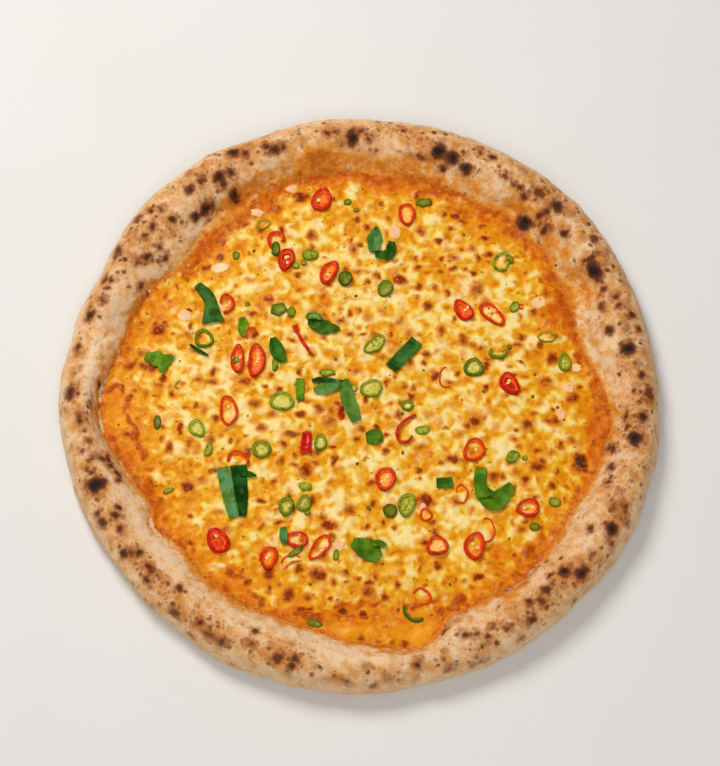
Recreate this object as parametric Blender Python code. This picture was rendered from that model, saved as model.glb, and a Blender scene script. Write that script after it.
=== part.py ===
"""A baked chilli pizza, 32 cm across, whole and uncut, lying flat.

The pieces, each a closed solid of its own:

- crust: one piece of dough, a thin flat floor that swells into a puffy,
  uneven raised rim,
- cheese_layer: the baked cheese and sauce that fill the well inside the rim,
- chilli_ring_NN: slices across red chillies, thin walled and slightly lobed,
- chilli_strip_NN: flat and thin cuts of red chilli,
- pepper_ring_NN: slices across green chillies and spring onions,
- leaf_NN: folded and curled cuts of green leaf.

The origin is in the middle of the outline, on the plane it lies on. +Z is up
and -Y is the near side.
"""

import math

import bmesh
import bpy
from mathutils import Vector
from mathutils.bvhtree import BVHTree

MM = 0.001

# ---- driving sizes, in millimetres -----------------------------------------
OUTER_RADIUS = 160.3  # mean radius of the whole pizza
RIM_HEIGHT = 20.6  # mean height of the raised rim
CROWN_BACK = 12.6  # from the outer edge in to the top of the rim
BASE_BACK = 7.0  # from the outer edge in to where the rim leaves the table
BELLY_HEIGHT = 8.6  # height of the widest place of the rim
WELL_RADIUS = 130.0  # mean radius at which the cheese meets the rim
EDGE_HEIGHT = 8.6  # height at which the cheese meets the rim
SLOPE_POWER = 1.8  # roundness of the slope from the crown into the well
FLOOR = 3.5  # thickness of the dough under the cheese
CHEESE_TOP = 8.9  # mean height of the cheese
CHEESE_WAVE = 0.55  # how far it rises and falls
CLEAR = 0.45  # gap kept between pieces that lie on each other
AROUND = 88  # sides of the rim

# Each row is a swelling or a dent: its direction in degrees from +X, its
# amount in millimetres and its half width in degrees.
OUTLINE = (
    (15, -2.7, 16), (47, 1.2, 9), (85, 2.0, 38), (130, 1.0, 16), (160, -3.6, 8),
    (174, -1.2, 8), (200, 1.0, 15), (262, 3.6, 34), (272, 0.9, 10), (350, -0.9, 14),
)  # fmt: skip
WELL = (
    (357, 3.0, 8), (17, -4.5, 7), (30, 4.5, 4), (40, -2.0, 4), (56, 6.0, 6),
    (72, -1.5, 8), (90, -2.0, 5), (147, -9.5, 9), (190, 10.0, 11), (214, -2.5, 5),
    (220, 3.0, 3), (228, -2.0, 4), (248, 2.5, 12), (272, 6.0, 9), (285, 12.5, 7.5),
    (312, 3.0, 5), (333, -3.0, 6),
)  # fmt: skip
HEIGHT = (
    (8, 0.6, 6), (35, 1.5, 10), (55, 1.2, 8), (78, 0.8, 8), (100, -1.0, 10),
    (124, 1.4, 10), (150, 0.6, 8), (175, -1.2, 12), (205, 1.5, 9), (235, -0.8, 10),
    (262, 0.8, 12), (290, -1.0, 10), (320, 1.4, 12), (352, 1.2, 9),
)  # fmt: skip


def swell(degrees, rows):
    """Sum of the smooth swellings of a table at one direction."""
    total = 0.0
    for at, amount, half_width in rows:
        off = (degrees - at + 180.0) % 360.0 - 180.0
        total += amount * math.exp(-((off / half_width) ** 2))
    return total


def outer(degrees):
    return OUTER_RADIUS + swell(degrees, OUTLINE)


def well(degrees):
    return WELL_RADIUS + swell(degrees, WELL)


def crown(degrees):
    return RIM_HEIGHT + swell(degrees, HEIGHT)


def on_circle(radius, degrees):
    turn = math.radians(degrees)
    return radius * math.cos(turn), radius * math.sin(turn)


def middle_of_outline():
    """The middle of the outline's box, which is moved onto the origin."""
    edge = [on_circle(outer(k * 360 / AROUND), k * 360 / AROUND) for k in range(AROUND)]
    across = [p[0] for p in edge]
    along = [p[1] for p in edge]
    return (min(across) + max(across)) / 2, (min(along) + max(along)) / 2


MID_X, MID_Y = middle_of_outline()


# ---- making solids ----------------------------------------------------------
def clear_scene():
    for item in list(bpy.data.objects):
        bpy.data.objects.remove(item, do_unlink=True)


def material(name, colour, roughness, coat=0.0):
    made = bpy.data.materials.new(name)
    made.use_nodes = True
    shader = made.node_tree.nodes["Principled BSDF"]
    shader.inputs["Base Color"].default_value = (*colour, 1.0)
    shader.inputs["Roughness"].default_value = roughness
    shader.inputs["Metallic"].default_value = 0.0
    shader.inputs["Coat Weight"].default_value = coat
    made.diffuse_color = (*colour, 1.0)
    return made


def solid(name, points, faces, finish):
    """One closed body from points in millimetres, laid out about the middle."""
    mesh = bpy.data.meshes.new(name)
    built = bmesh.new()
    made = [
        built.verts.new(((x - MID_X) * MM, (y - MID_Y) * MM, z * MM))
        for x, y, z in points
    ]
    for face in faces:
        built.faces.new([made[index] for index in face])
    bmesh.ops.recalc_face_normals(built, faces=built.faces[:])
    built.to_mesh(mesh)
    built.free()
    mesh.shade_smooth()
    mesh.set_sharp_from_angle(angle=math.radians(50))
    mesh.materials.append(finish)
    item = bpy.data.objects.new(name, mesh)
    bpy.context.scene.collection.objects.link(item)
    return item


def rings_to_solid(name, rings, first, last, finish):
    """A body turned through rings of equal count, closed by a point at each end."""
    count = len(rings[0])
    points = [first] + [point for ring in rings for point in ring] + [last]
    faces = []
    for k in range(count):
        after = (k + 1) % count
        faces.append((0, 1 + after, 1 + k))
        for level in range(len(rings) - 1):
            low, high = 1 + level * count, 1 + (level + 1) * count
            faces.append((low + k, low + after, high + after, high + k))
        top = 1 + (len(rings) - 1) * count
        faces.append((top + k, top + after, len(points) - 1))
    return solid(name, points, faces, finish)


# ---- the crust --------------------------------------------------------------
def slope_height(share, top):
    """Height on the slope, from 0 at the cheese to 1 at the crown."""
    return EDGE_HEIGHT + (top - EDGE_HEIGHT) * (1 - (1 - share) ** SLOPE_POWER)


def rim_section(degrees):
    """The rim's section, from where it leaves the table to the dough floor."""
    out, inn, top = outer(degrees), well(degrees), crown(degrees)
    ridge = out - CROWN_BACK
    section = [
        (out - BASE_BACK, 0.0),
        (out - 2.6, 1.6),
        (out - 0.5, 5.0),
        (out, BELLY_HEIGHT),
        (out - 0.9, BELLY_HEIGHT + 4.0),
        (out - 3.8, top - 3.8),
        (out - 7.8, top - 1.1),
        (ridge, top),
    ]
    for share in (0.72, 0.45, 0.2, 0.0):
        section.append((inn + (ridge - inn) * share, slope_height(share, top)))
    section.append((inn - 2.5, 5.2))
    section.append((inn - 6.0, FLOOR))
    return section


def make_crust(finish):
    sections = [rim_section(k * 360 / AROUND) for k in range(AROUND)]
    rings = []
    for level in range(len(sections[0])):
        ring = []
        for k, section in enumerate(sections):
            radius, height = section[level]
            ring.append((*on_circle(radius, k * 360 / AROUND), height))
        rings.append(ring)
    return rings_to_solid("crust", rings, (0, 0, 0.0), (0, 0, FLOOR), finish)


# ---- the cheese -------------------------------------------------------------
def cheese_height(x, y, share):
    """Top of the cheese; share is 0 in the middle and 1 at the rim."""
    wave = (
        math.sin(x / 11.0 + 1.3) * math.cos(y / 13.0 - 0.4)
        + 0.6 * math.sin((x + y) / 17.0 + 2.1)
        + 0.5 * math.cos((x - 1.4 * y) / 9.0)
    )
    moat = -0.7 * math.exp(-(((share - 0.93) / 0.05) ** 2))
    return CHEESE_TOP + CHEESE_WAVE * wave * (1 - share**6) * 0.6 + moat


def make_cheese(finish):
    rings = []
    for inset, height in ((6.8, FLOOR + CLEAR), (3.2, 5.2 + CLEAR)):
        ring = []
        for k in range(AROUND):
            degrees = k * 360 / AROUND
            ring.append((*on_circle(well(degrees) - inset, degrees), height))
        rings.append(ring)
    for share in (1.0, 0.93, 0.82, 0.68, 0.52, 0.34, 0.16):
        ring = []
        for k in range(AROUND):
            degrees = k * 360 / AROUND
            x, y = on_circle((well(degrees) - 0.7) * share, degrees)
            height = EDGE_HEIGHT + 0.2 if share == 1.0 else cheese_height(x, y, share)
            ring.append((x, y, height))
        rings.append(ring)
    low, high = (0, 0, FLOOR + CLEAR), (0, 0, cheese_height(0, 0, 0))
    return rings_to_solid("cheese_layer", rings, low, high, finish)


# ---- what lies on the cheese ------------------------------------------------
class Ground:
    """The cheese with all the pieces laid so far, to lay the next one on."""

    def __init__(self):
        self.points = []
        self.faces = []
        self.tree = None

    def add(self, item):
        start = len(self.points)
        self.points += [vertex.co / MM for vertex in item.data.vertices]
        self.faces += [
            tuple(start + index for index in face.vertices)
            for face in item.data.polygons
        ]
        self.tree = BVHTree.FromPolygons(self.points, self.faces)

    def height(self, x, y, reach=0.0):
        """Highest ground within reach of a point of the layout."""
        best = 0.0
        spots = [(0.0, 0.0)]
        if reach:
            spots += [on_circle(reach, k * 45) for k in range(8)]
        for dx, dy in spots:
            above = Vector((x + dx - MID_X, y + dy - MID_Y, 60.0))
            hit = self.tree.ray_cast(above, Vector((0, 0, -1)))[0]
            if hit is not None:
                best = max(best, hit.z)
        return best


def slice_outline(long, short, turn, lobes, swing, degrees):
    """A point on the outline of a slice, and the same point a wall inside."""
    around = math.radians(degrees)
    stretch = 1 + lobes * math.cos(3 * around + swing)
    x = long / 2 * stretch * math.cos(around)
    y = short / 2 * stretch * math.sin(around)
    c, s = math.cos(math.radians(turn)), math.sin(math.radians(turn))
    return x * c - y * s, x * s + y * c


def make_ring(ground, name, row, finish, sides=12, rounded=True):
    """A slice across a pepper: a thin lobed wall round an open middle.

    row: middle x and y, long and short size, turn of the long size, wall,
    height, and where the wall is broken: its direction and its span, or 0.
    """
    x, y, long, short, turn, wall, tall, gap_at, gap = row
    if gap:
        start, span = gap_at + gap / 2 - turn, 360 - gap
        steps = max(6, round(sides * span / 360))
        turns = [start + span * k / steps for k in range(steps + 1)]
    else:
        turns = [k * 360 / sides for k in range(sides)]
    inner = max(0.25, 1 - 2 * wall / short)
    sections = []
    for around in turns:
        px, py = slice_outline(long, short, turn, 0.05, x, around)
        reach = wall / 2 + 0.7
        spot = (1 + inner) / 2
        base = ground.height(x + px * spot, y + py * spot, reach) + CLEAR
        section = [
            (x + px, y + py, base),
            (x + px, y + py, base + tall * 0.86),
            (x + px * spot, y + py * spot, base + tall),
            (x + px * inner, y + py * inner, base + tall * 0.8),
            (x + px * inner, y + py * inner, base),
        ]
        if not rounded:
            del section[2]
        sections.append(section)
    return sections_to_solid(name, sections, not gap, finish)


def sections_to_solid(name, sections, closed, finish):
    """A body through sections of equal count, joined end to end or capped."""
    count = len(sections[0])
    points = [point for section in sections for point in section]
    faces = []
    for k in range(len(sections) if closed else len(sections) - 1):
        here, there = k * count, (k + 1) % len(sections) * count
        for side in range(count):
            after = (side + 1) % count
            faces.append((here + side, here + after, there + after, there + side))
    if not closed:
        faces.append(tuple(range(count)))
        faces.append(tuple(range(len(points) - count, len(points)))[::-1])
    return solid(name, points, faces, finish)


def make_disc(ground, name, row, finish, sides=12):
    """A closed slice with a low dished middle."""
    x, y, long, short, turn, tall = row
    base = ground.height(x, y)
    edge = [slice_outline(long, short, turn, 0.04, x, k * 360 / sides) for k in range(sides)]
    for px, py in edge:
        base = max(base, ground.height(x + px * 0.8, y + py * 0.8, 1.2))
    base += CLEAR
    low = [(x + px, y + py, base) for px, py in edge]
    high = [(x + px, y + py, base + tall * 0.8) for px, py in edge]
    lip = [(x + px * 0.72, y + py * 0.72, base + tall) for px, py in edge]
    return rings_to_solid(
        name, [low, high, lip], (x, y, base), (x, y, base + tall * 0.55), finish
    )


def on_path(stops, share):
    """A point and heading on a smooth curve through two, three or four stops."""

    def at(t):
        t = min(max(t, 0.0), 1.0) * (len(stops) - 1)
        k = min(int(t), len(stops) - 2)
        t -= k
        p1, p2 = Vector(stops[k]), Vector(stops[k + 1])
        p0 = Vector(stops[k - 1]) if k else p1 * 2 - p2
        p3 = Vector(stops[k + 2]) if k + 2 < len(stops) else p2 * 2 - p1
        return 0.5 * (
            2 * p1
            + (p2 - p0) * t
            + (2 * p0 - 5 * p1 + 4 * p2 - p3) * t * t
            + (3 * p1 - p0 - 3 * p2 + p3) * t**3
        )

    ahead = at(share + 0.02) - at(share - 0.02)
    return at(share), ahead.normalized()


def make_leaf(ground, name, stops, widths, thick, fold, finish, cuts=7):
    """A cut of leaf along a path; fold lifts its edges (+) or its middle (-).

    widths: its width at the start, at the middle and at the end.
    """
    sections = []
    for k in range(cuts):
        share = k / (cuts - 1)
        spot, ahead = on_path(stops, share)
        aside = Vector((-ahead.y, ahead.x))
        first, middle, last = widths
        if share < 0.5:
            width = first + (middle - first) * math.sin(share * math.pi)
        else:
            width = last + (middle - last) * math.sin(share * math.pi)
        across = []
        for side in (-0.5, 0.0, 0.5):
            place = spot + aside * width * side
            base = ground.height(place.x, place.y, 1.1) + CLEAR
            across.append([place.x, place.y, base])
        # The middle stays on the straight line or above it, so it can't cut down.
        level = (across[0][2] + across[2][2]) / 2
        across[1][2] = max(across[1][2], level)
        lift = (max(fold, 0.0), max(-fold, 0.0), max(fold, 0.0))
        low = [(p[0], p[1], p[2] + up) for p, up in zip(across, lift, strict=True)]
        high = [(p[0], p[1], p[2] + thick) for p in reversed(low)]
        sections.append(low + high)
    return sections_to_solid(name, sections, False, finish)


# Red chilli slices: middle, long and short size, turn, wall, height, break.
CHILLI_RINGS = (
    (-54.3, 84.0, 10.6, 9.2, 60, 1.5, 2.6, -55, 80),
    (-47.6, 72.8, 13.4, 9.0, 80, 1.7, 2.6, 0, 0),
    (-31.4, 110.4, 14.6, 10.8, 75, 1.9, 2.6, 0, 0),
    (16.0, 105.8, 13.4, 9.4, 98, 1.3, 2.6, 0, 0),
    (-23.8, 67.2, 15.0, 8.4, 66, 1.6, 2.8, 0, 0),
    (-77.2, 43.8, 11.6, 8.4, 90, 1.3, 2.4, 215, 70),
    (50.5, 51.2, 13.6, 9.0, 130, 1.8, 2.6, 0, 0),
    (65.9, 50.7, 16.4, 8.8, 140, 1.3, 2.4, 0, 0),
    (-68.2, 12.3, 16.6, 7.2, 93, 1.3, 2.4, 0, 0),
    (-58.1, 12.4, 19.4, 9.2, 92, 1.6, 2.6, 0, 0),
    (-70.2, -17.3, 17.0, 9.8, 100, 1.2, 2.2, 0, 0),
    (-62.6, -44.8, 12.4, 11.0, 0, 1.3, 2.2, 270, 150),
    (15.6, -48.3, 13.2, 10.6, 90, 1.7, 2.6, 0, 0),
    (77.6, 10.8, 13.6, 9.4, 125, 2.0, 2.6, 0, 0),
    (61.0, -28.0, 13.6, 11.0, 65, 1.2, 2.4, 0, 0),
    (-68.6, -89.5, 14.2, 10.8, 125, 2.3, 2.8, 0, 0),
    (-28.0, -85.5, 12.2, 9.4, 0, 1.6, 2.6, 0, 0),
    (-15.6, -88.6, 16.2, 8.2, 55, 1.2, 2.2, 0, 0),
    (-41.6, -96.4, 12.4, 9.2, 80, 1.6, 2.6, 0, 0),
    (45.0, -82.5, 11.6, 10.8, 0, 1.4, 2.6, 0, 0),
    (64.3, -81.0, 15.2, 10.6, 85, 1.6, 2.6, 0, 0),
    (91.2, -57.8, 12.2, 10.2, 10, 1.5, 2.6, 0, 0),
)
# Green slices, as above.
PEPPER_RINGS = (
    (69.5, 82.0, 12.0, 9.0, 70, 1.3, 2.0, 0, 0),
    (-87.3, 22.6, 11.2, 9.8, 120, 1.5, 2.2, 0, 0),
    (-85.8, -28.8, 10.0, 8.0, 120, 1.6, 2.2, 0, 0),
    (-50.8, -37.5, 10.2, 9.4, 0, 1.8, 2.2, 0, 0),
    (4.2, 27.5, 13.8, 7.4, 45, 1.2, 2.0, 0, 0),
    (4.3, 1.6, 12.2, 9.6, 20, 1.4, 2.2, 0, 0),
    (-42.6, -9.5, 13.2, 10.2, 0, 1.6, 2.2, 0, 0),
    (-20.2, -31.0, 9.2, 6.8, 85, 1.5, 2.2, 0, 0),
    (58.0, 18.6, 10.8, 10.2, 0, 1.9, 2.2, 0, 0),
    (70.4, 28.8, 9.8, 8.4, 0, 1.9, 2.2, 90, 110),
    (106.6, 26.0, 10.4, 7.0, 95, 1.6, 2.2, 0, 0),
    (-35.0, -67.8, 10.6, 8.0, 90, 1.9, 2.2, 0, 0),
    (-26.0, -65.4, 9.2, 7.2, 70, 1.8, 2.2, 0, 0),
    (27.6, -61.5, 13.2, 8.8, 80, 1.5, 2.2, 0, 0),
)
# Closed green slices: middle, long and short size, turn, height.
PEPPER_DISCS = (
    (-34.8, 77.0, 9.0, 6.6, 0, 2.0),
    (-14.6, 64.4, 9.2, 7.8, 90, 2.0),
    (7.5, 60.5, 10.2, 8.2, 80, 2.0),
)
# Cuts of leaf: path, widths at its start, middle and end, thickness, fold.
LEAVES = (
    (((-94.0, 53.0), (-87.5, 46.5), (-83.8, 34.5)), (4.5, 9.5, 11.5), 0.9, -0.6),
    (((0.5, 79.5), (8.0, 80.5), (9.0, 88.0)), (3.6, 6.0, 4.0), 0.9, 0.5),
    (((-0.4, 81.0), (-0.6, 89.0), (0.2, 96.5)), (5.0, 8.0, 1.2), 0.9, 0.6),
    (((-117.6, 9.6), (-109.5, 8.6), (-104.2, 6.6)), (4.0, 8.0, 12.5), 0.9, -0.5),
    (((-50.5, 26.0), (-47.6, 19.0), (-43.6, 12.6)), (3.0, 7.8, 4.0), 0.9, 0.6),
    (((-32.4, 35.2), (-24.0, 32.6), (-16.0, 35.0)), (4.0, 9.0, 2.6), 0.9, -0.6),
    (((26.6, 31.2), (20.2, 22.4), (13.6, 14.0)), (7.2, 7.6, 7.0), 0.9, 0.5),
    (((-26.0, -2.2), (-19.0, 0.4), (-12.8, 2.6)), (2.4, 7.2, 4.0), 0.9, 0.4),
    (((-11.2, 5.0), (-7.4, -6.0), (-2.2, -17.6)), (6.0, 7.6, 5.4), 0.9, 0.6),
    (((3.6, -26.2), (7.8, -25.4), (12.0, -24.4)), (5.4, 8.6, 6.6), 1.0, -0.6),
    (((-33.8, 4.0), (-33.6, -2.0), (-33.0, -8.2)), (4.2, 4.6, 3.8), 0.9, 0.4),
    (
        ((64.6, -38.0), (65.6, -49.6), (73.4, -55.6), (83.2, -46.4)),
        (6.0, 8.6, 3.6), 0.9, 0.5,
    ),
    (((-70.6, -49.6), (-66.0, -63.0), (-62.0, -76.4)), (4.6, 5.2, 3.8), 0.9, 0.5),
    (((-63.2, -48.0), (-59.8, -62.0), (-57.6, -76.6)), (6.4, 7.0, 3.6), 0.9, -0.6),
    (((0.8, -84.4), (8.6, -87.6), (15.6, -92.2)), (4.6, 10.6, 6.0), 0.9, -0.7),
    (((-67.4, 36.6), (-67.0, 31.0), (-66.4, 25.4)), (1.6, 6.2, 1.8), 0.9, 0.5),
)  # fmt: skip
# Flat cuts of red chilli, as the leaves; the last is a thin cut rolled to a hook.
CHILLI_STRIPS = (
    (((-27.6, -26.2), (-27.6, -32.0), (-27.4, -37.8)), (4.6, 5.6, 6.0), 1.6, 0.0),
    (((-39.4, 34.0), (-35.6, 27.0), (-30.0, 19.4)), (2.4, 1.8, 1.6), 1.4, 0.0),
    (
        ((29.0, -11.2), (24.6, -14.2), (20.8, -18.6), (19.8, -23.4), (22.0, -27.2),
         (25.8, -27.0), (28.0, -23.6)),
        (1.4, 1.8, 1.4), 2.2, 0.0,
    ),
)


def main():
    clear_scene()
    dough = material("baked_dough", (0.62, 0.38, 0.19), 0.75)
    cheese = material("melted_cheese", (0.80, 0.50, 0.12), 0.35, 0.3)
    red = material("red_chilli", (0.50, 0.03, 0.01), 0.3, 0.4)
    green = material("green_pepper", (0.20, 0.30, 0.04), 0.35, 0.3)
    leaf = material("green_leaf", (0.03, 0.14, 0.03), 0.45)

    make_crust(dough)
    ground = Ground()
    ground.add(make_cheese(cheese))

    for k, row in enumerate(CHILLI_RINGS, 1):
        ground.add(make_ring(ground, f"chilli_ring_{k:02d}", row, red))
    for k, row in enumerate(CHILLI_STRIPS, 1):
        path, widths, thick, fold = row
        name = f"chilli_strip_{k:02d}"
        cuts = 2 * len(path) - 1
        ground.add(make_leaf(ground, name, path, widths, thick, fold, red, cuts))
    for k, row in enumerate(PEPPER_RINGS, 1):
        name = f"pepper_ring_{k:02d}"
        ground.add(make_ring(ground, name, row, green, rounded=False))
    for k, row in enumerate(PEPPER_DISCS, 1):
        ground.add(make_disc(ground, f"pepper_disc_{k:02d}", row, green))
    for k, row in enumerate(LEAVES, 1):
        path, widths, thick, fold = row
        name = f"leaf_{k:02d}"
        ground.add(make_leaf(ground, name, path, widths, thick, fold, leaf))


main()
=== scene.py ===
"""How a baked chilli pizza looks: crust, cheese, chilli, greens, light and view.

Shapes are laid out in millimetres about the middle of the pizza's outline, as
the solids are, and turn into metres only when a mesh is made.
"""

import functools
import math

import bpy
import numpy as np
from mathutils import Matrix, Vector
from mathutils.bvhtree import BVHTree


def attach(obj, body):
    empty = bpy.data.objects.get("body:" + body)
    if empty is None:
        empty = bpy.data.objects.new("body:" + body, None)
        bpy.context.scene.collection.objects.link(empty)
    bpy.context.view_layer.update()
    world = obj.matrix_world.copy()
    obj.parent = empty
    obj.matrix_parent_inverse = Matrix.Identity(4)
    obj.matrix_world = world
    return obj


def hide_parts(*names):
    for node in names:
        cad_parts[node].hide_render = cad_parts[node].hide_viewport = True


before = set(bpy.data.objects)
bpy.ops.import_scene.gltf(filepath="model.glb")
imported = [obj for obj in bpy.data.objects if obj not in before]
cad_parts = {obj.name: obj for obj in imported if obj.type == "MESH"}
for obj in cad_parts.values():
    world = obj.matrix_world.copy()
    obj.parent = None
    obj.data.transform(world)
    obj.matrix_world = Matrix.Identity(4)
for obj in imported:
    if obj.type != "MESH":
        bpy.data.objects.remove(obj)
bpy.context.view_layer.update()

MM = 0.001

# ---- the solids' own sizes, repeated here ------------------------------------
OUTER_RADIUS, RIM_HEIGHT, CROWN_BACK, BASE_BACK, BELLY = 160.3, 20.6, 12.6, 7.0, 8.6
WELL_RADIUS, EDGE_HEIGHT, SLOPE_POWER, FLOOR = 130.0, 8.6, 1.8, 3.5
CHEESE_TOP, CHEESE_WAVE, AROUND = 8.9, 0.55, 88

OUTLINE = (
    (15, -2.7, 16), (47, 1.2, 9), (85, 2.0, 38), (130, 1.0, 16), (160, -3.6, 8),
    (174, -1.2, 8), (200, 1.0, 15), (262, 3.6, 34), (272, 0.9, 10), (350, -0.9, 14),
)  # fmt: skip
WELL = (
    (357, 3.0, 8), (17, -4.5, 7), (30, 4.5, 4), (40, -2.0, 4), (56, 6.0, 6),
    (72, -1.5, 8), (90, -2.0, 5), (147, -9.5, 9), (190, 10.0, 11), (214, -2.5, 5),
    (220, 3.0, 3), (228, -2.0, 4), (248, 2.5, 12), (272, 6.0, 9), (285, 12.5, 7.5),
    (312, 3.0, 5), (333, -3.0, 6),
)  # fmt: skip
HEIGHT = (
    (8, 0.6, 6), (35, 1.5, 10), (55, 1.2, 8), (78, 0.8, 8), (100, -1.0, 10),
    (124, 1.4, 10), (150, 0.6, 8), (175, -1.2, 12), (205, 1.5, 9), (235, -0.8, 10),
    (262, 0.8, 12), (290, -1.0, 10), (320, 1.4, 12), (352, 1.2, 9),
)  # fmt: skip


def swell(degrees, rows):
    degrees = np.asarray(degrees, float)
    total = np.zeros_like(degrees)
    for at, amount, half_width in rows:
        off = (degrees - at + 180.0) % 360.0 - 180.0
        total += amount * np.exp(-((off / half_width) ** 2))
    return total


def outer(degrees):
    return OUTER_RADIUS + swell(degrees, OUTLINE)


def well(degrees):
    return WELL_RADIUS + swell(degrees, WELL)


def crown(degrees):
    return RIM_HEIGHT + swell(degrees, HEIGHT)


def middle_of_outline():
    turns = np.arange(AROUND) * 360 / AROUND
    x = outer(turns) * np.cos(np.radians(turns))
    y = outer(turns) * np.sin(np.radians(turns))
    return (x.min() + x.max()) / 2, (y.min() + y.max()) / 2


MID = np.array([*middle_of_outline(), 0.0])


# ---- repeatable noise --------------------------------------------------------
SLANTS = np.array(
    [
        (1, 1, 0), (-1, 1, 0), (1, -1, 0), (-1, -1, 0), (1, 0, 1), (-1, 0, 1),
        (1, 0, -1), (-1, 0, -1), (0, 1, 1), (0, -1, 1), (0, 1, -1), (0, -1, -1),
        (1, 1, 0), (-1, 1, 0), (0, -1, 1), (0, -1, -1),
    ],
    float,
)  # fmt: skip


def scramble(cell, seed):
    h = cell[:, 0] * 73856093 ^ cell[:, 1] * 19349663 ^ cell[:, 2] * 83492791
    h = (h ^ (seed * 40503 + 977)) & 0xFFFFFFFF
    h = ((h ^ (h >> 15)) * 2246822519) & 0xFFFFFFFF
    h = ((h ^ (h >> 13)) * 3266489917) & 0xFFFFFFFF
    return h ^ (h >> 16)


def noise(points, size, seed, octaves=1):
    """Smooth noise from about -1 to 1, its features of that size in millimetres."""
    total = np.zeros(len(points))
    share = 1.0
    for octave in range(octaves):
        p = points / size + (seed * 7.31 + octave * 3.7)
        floor = np.floor(p)
        f = p - floor
        cell = floor.astype(np.int64)
        s = f * f * f * (f * (f * 6 - 15) + 10)
        for corner in range(8):
            step = np.array([corner & 1, corner >> 1 & 1, corner >> 2 & 1])
            slant = SLANTS[scramble(cell + step, seed + octave) & 15]
            weight = np.prod(np.where(step, s, 1 - s), axis=1)
            total += share * 1.5 * weight * np.sum(slant * (f - step), axis=1)
        size *= 0.5
        share *= 0.5
    return total


def smooth(value, low, high):
    t = np.clip((value - low) / (high - low), 0, 1)
    return t * t * (3 - 2 * t)


# ---- meshes ------------------------------------------------------------------
def skin(rings, first, last):
    """Points and faces of a body through rings, closed by a point at each end.

    A ring has as many points as the one before it, or half or twice as many.
    """
    starts = np.cumsum([1] + [len(ring) for ring in rings])
    points = np.concatenate([[first], *rings, [last]])
    faces = []
    n = len(rings[0])
    k = np.arange(n)
    faces += np.stack([k * 0, 1 + (k + 1) % n, 1 + k], 1).tolist()
    for level in range(len(rings) - 1):
        a, b = starts[level], starts[level + 1]
        n, m = len(rings[level]), len(rings[level + 1])
        if n == m:
            k = np.arange(n)
            on = (k + 1) % n
            faces += np.stack([a + k, a + on, b + on, b + k], 1).tolist()
        elif n == 2 * m:
            k = np.arange(m)
            a0, a1, a2 = a + 2 * k, a + 2 * k + 1, a + (2 * k + 2) % n
            b0, b1 = b + k, b + (k + 1) % m
            for row in ((a0, a1, b0), (a1, a2, b1), (a1, b1, b0)):
                faces += np.stack(row, 1).tolist()
        else:
            k = np.arange(n)
            b0, b1, b2 = b + 2 * k, b + 2 * k + 1, b + (2 * k + 2) % m
            a0, a1 = a + k, a + (k + 1) % n
            for row in ((b1, b0, a0), (b2, b1, a1), (a1, b1, a0)):
                faces += np.stack(row, 1).tolist()
    n, a, end = len(rings[-1]), starts[-2], len(points) - 1
    k = np.arange(n)
    faces += np.stack([a + k, a + (k + 1) % n, k * 0 + end], 1).tolist()
    return points, faces


def tube(sections, closed):
    """Points and faces of a body through equal sections, joined up or capped."""
    sections = np.asarray(sections, float)
    many, count = sections.shape[:2]
    points = sections.reshape(-1, 3)
    faces = []
    side = np.arange(count)
    on = (side + 1) % count
    for k in range(many if closed else many - 1):
        here, there = k * count, (k + 1) % many * count
        faces += np.stack([here + side, here + on, there + on, there + side], 1).tolist()
    if not closed:
        ends = [sections[0].mean(0), sections[-1].mean(0)]
        points = np.concatenate([points, ends])
        low, high, last = many * count, many * count + 1, (many - 1) * count
        faces += np.stack([on, side, side * 0 + low], 1).tolist()
        faces += np.stack([last + side, last + on, side * 0 + high], 1).tolist()
    return points, faces


def facing_out(points, faces):
    """The same faces, turned over if the body is inside out."""
    volume = 0.0
    for width in (3, 4):
        group = np.array([f for f in faces if len(f) == width])
        if len(group):
            for k in range(1, width - 1):
                a, b, c = (points[group[:, j]] for j in (0, k, k + 1))
                volume += np.sum(a * np.cross(b, c))
    return faces if volume > 0 else [face[::-1] for face in faces]


class Pile:
    """Closed pieces of one kind, gathered into one mesh."""

    def __init__(self, *names):
        self.points, self.faces, self.count = [], [], 0
        self.values = {name: [] for name in names}

    def add(self, points, faces, **values):
        faces = facing_out(points - points.mean(0), faces)
        self.faces += [[index + self.count for index in face] for face in faces]
        self.points.append(points)
        self.count += len(points)
        for name, rows in self.values.items():
            rows.append(np.zeros(len(points)) + values.get(name, 0.0))
        return points, faces

    def make(self, name, finish, stands_for=()):
        mesh = bpy.data.meshes.new(name)
        points = (np.concatenate(self.points) - MID) * MM
        mesh.from_pydata(points.tolist(), [], self.faces)
        mesh.update()
        mesh.shade_smooth()
        for kind, rows in self.values.items():
            values = np.concatenate(rows).astype(np.float32)
            mesh.attributes.new(kind, "FLOAT", "POINT").data.foreach_set("value", values)
        mesh.materials.append(finish)
        piece = bpy.data.objects.new(name, mesh)
        bpy.context.scene.collection.objects.link(piece)
        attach(piece, "root")
        if stands_for:
            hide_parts(*stands_for)
        return piece


# ---- materials ---------------------------------------------------------------
def tint(red, green, blue):
    """A colour from 0 to 255 as seen, turned into the amounts of light it is."""
    seen = np.array([red, green, blue]) / 255
    light = np.where(seen <= 0.04045, seen / 12.92, ((seen + 0.055) / 1.055) ** 2.4)
    return (*light.tolist(), 1.0)


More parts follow.
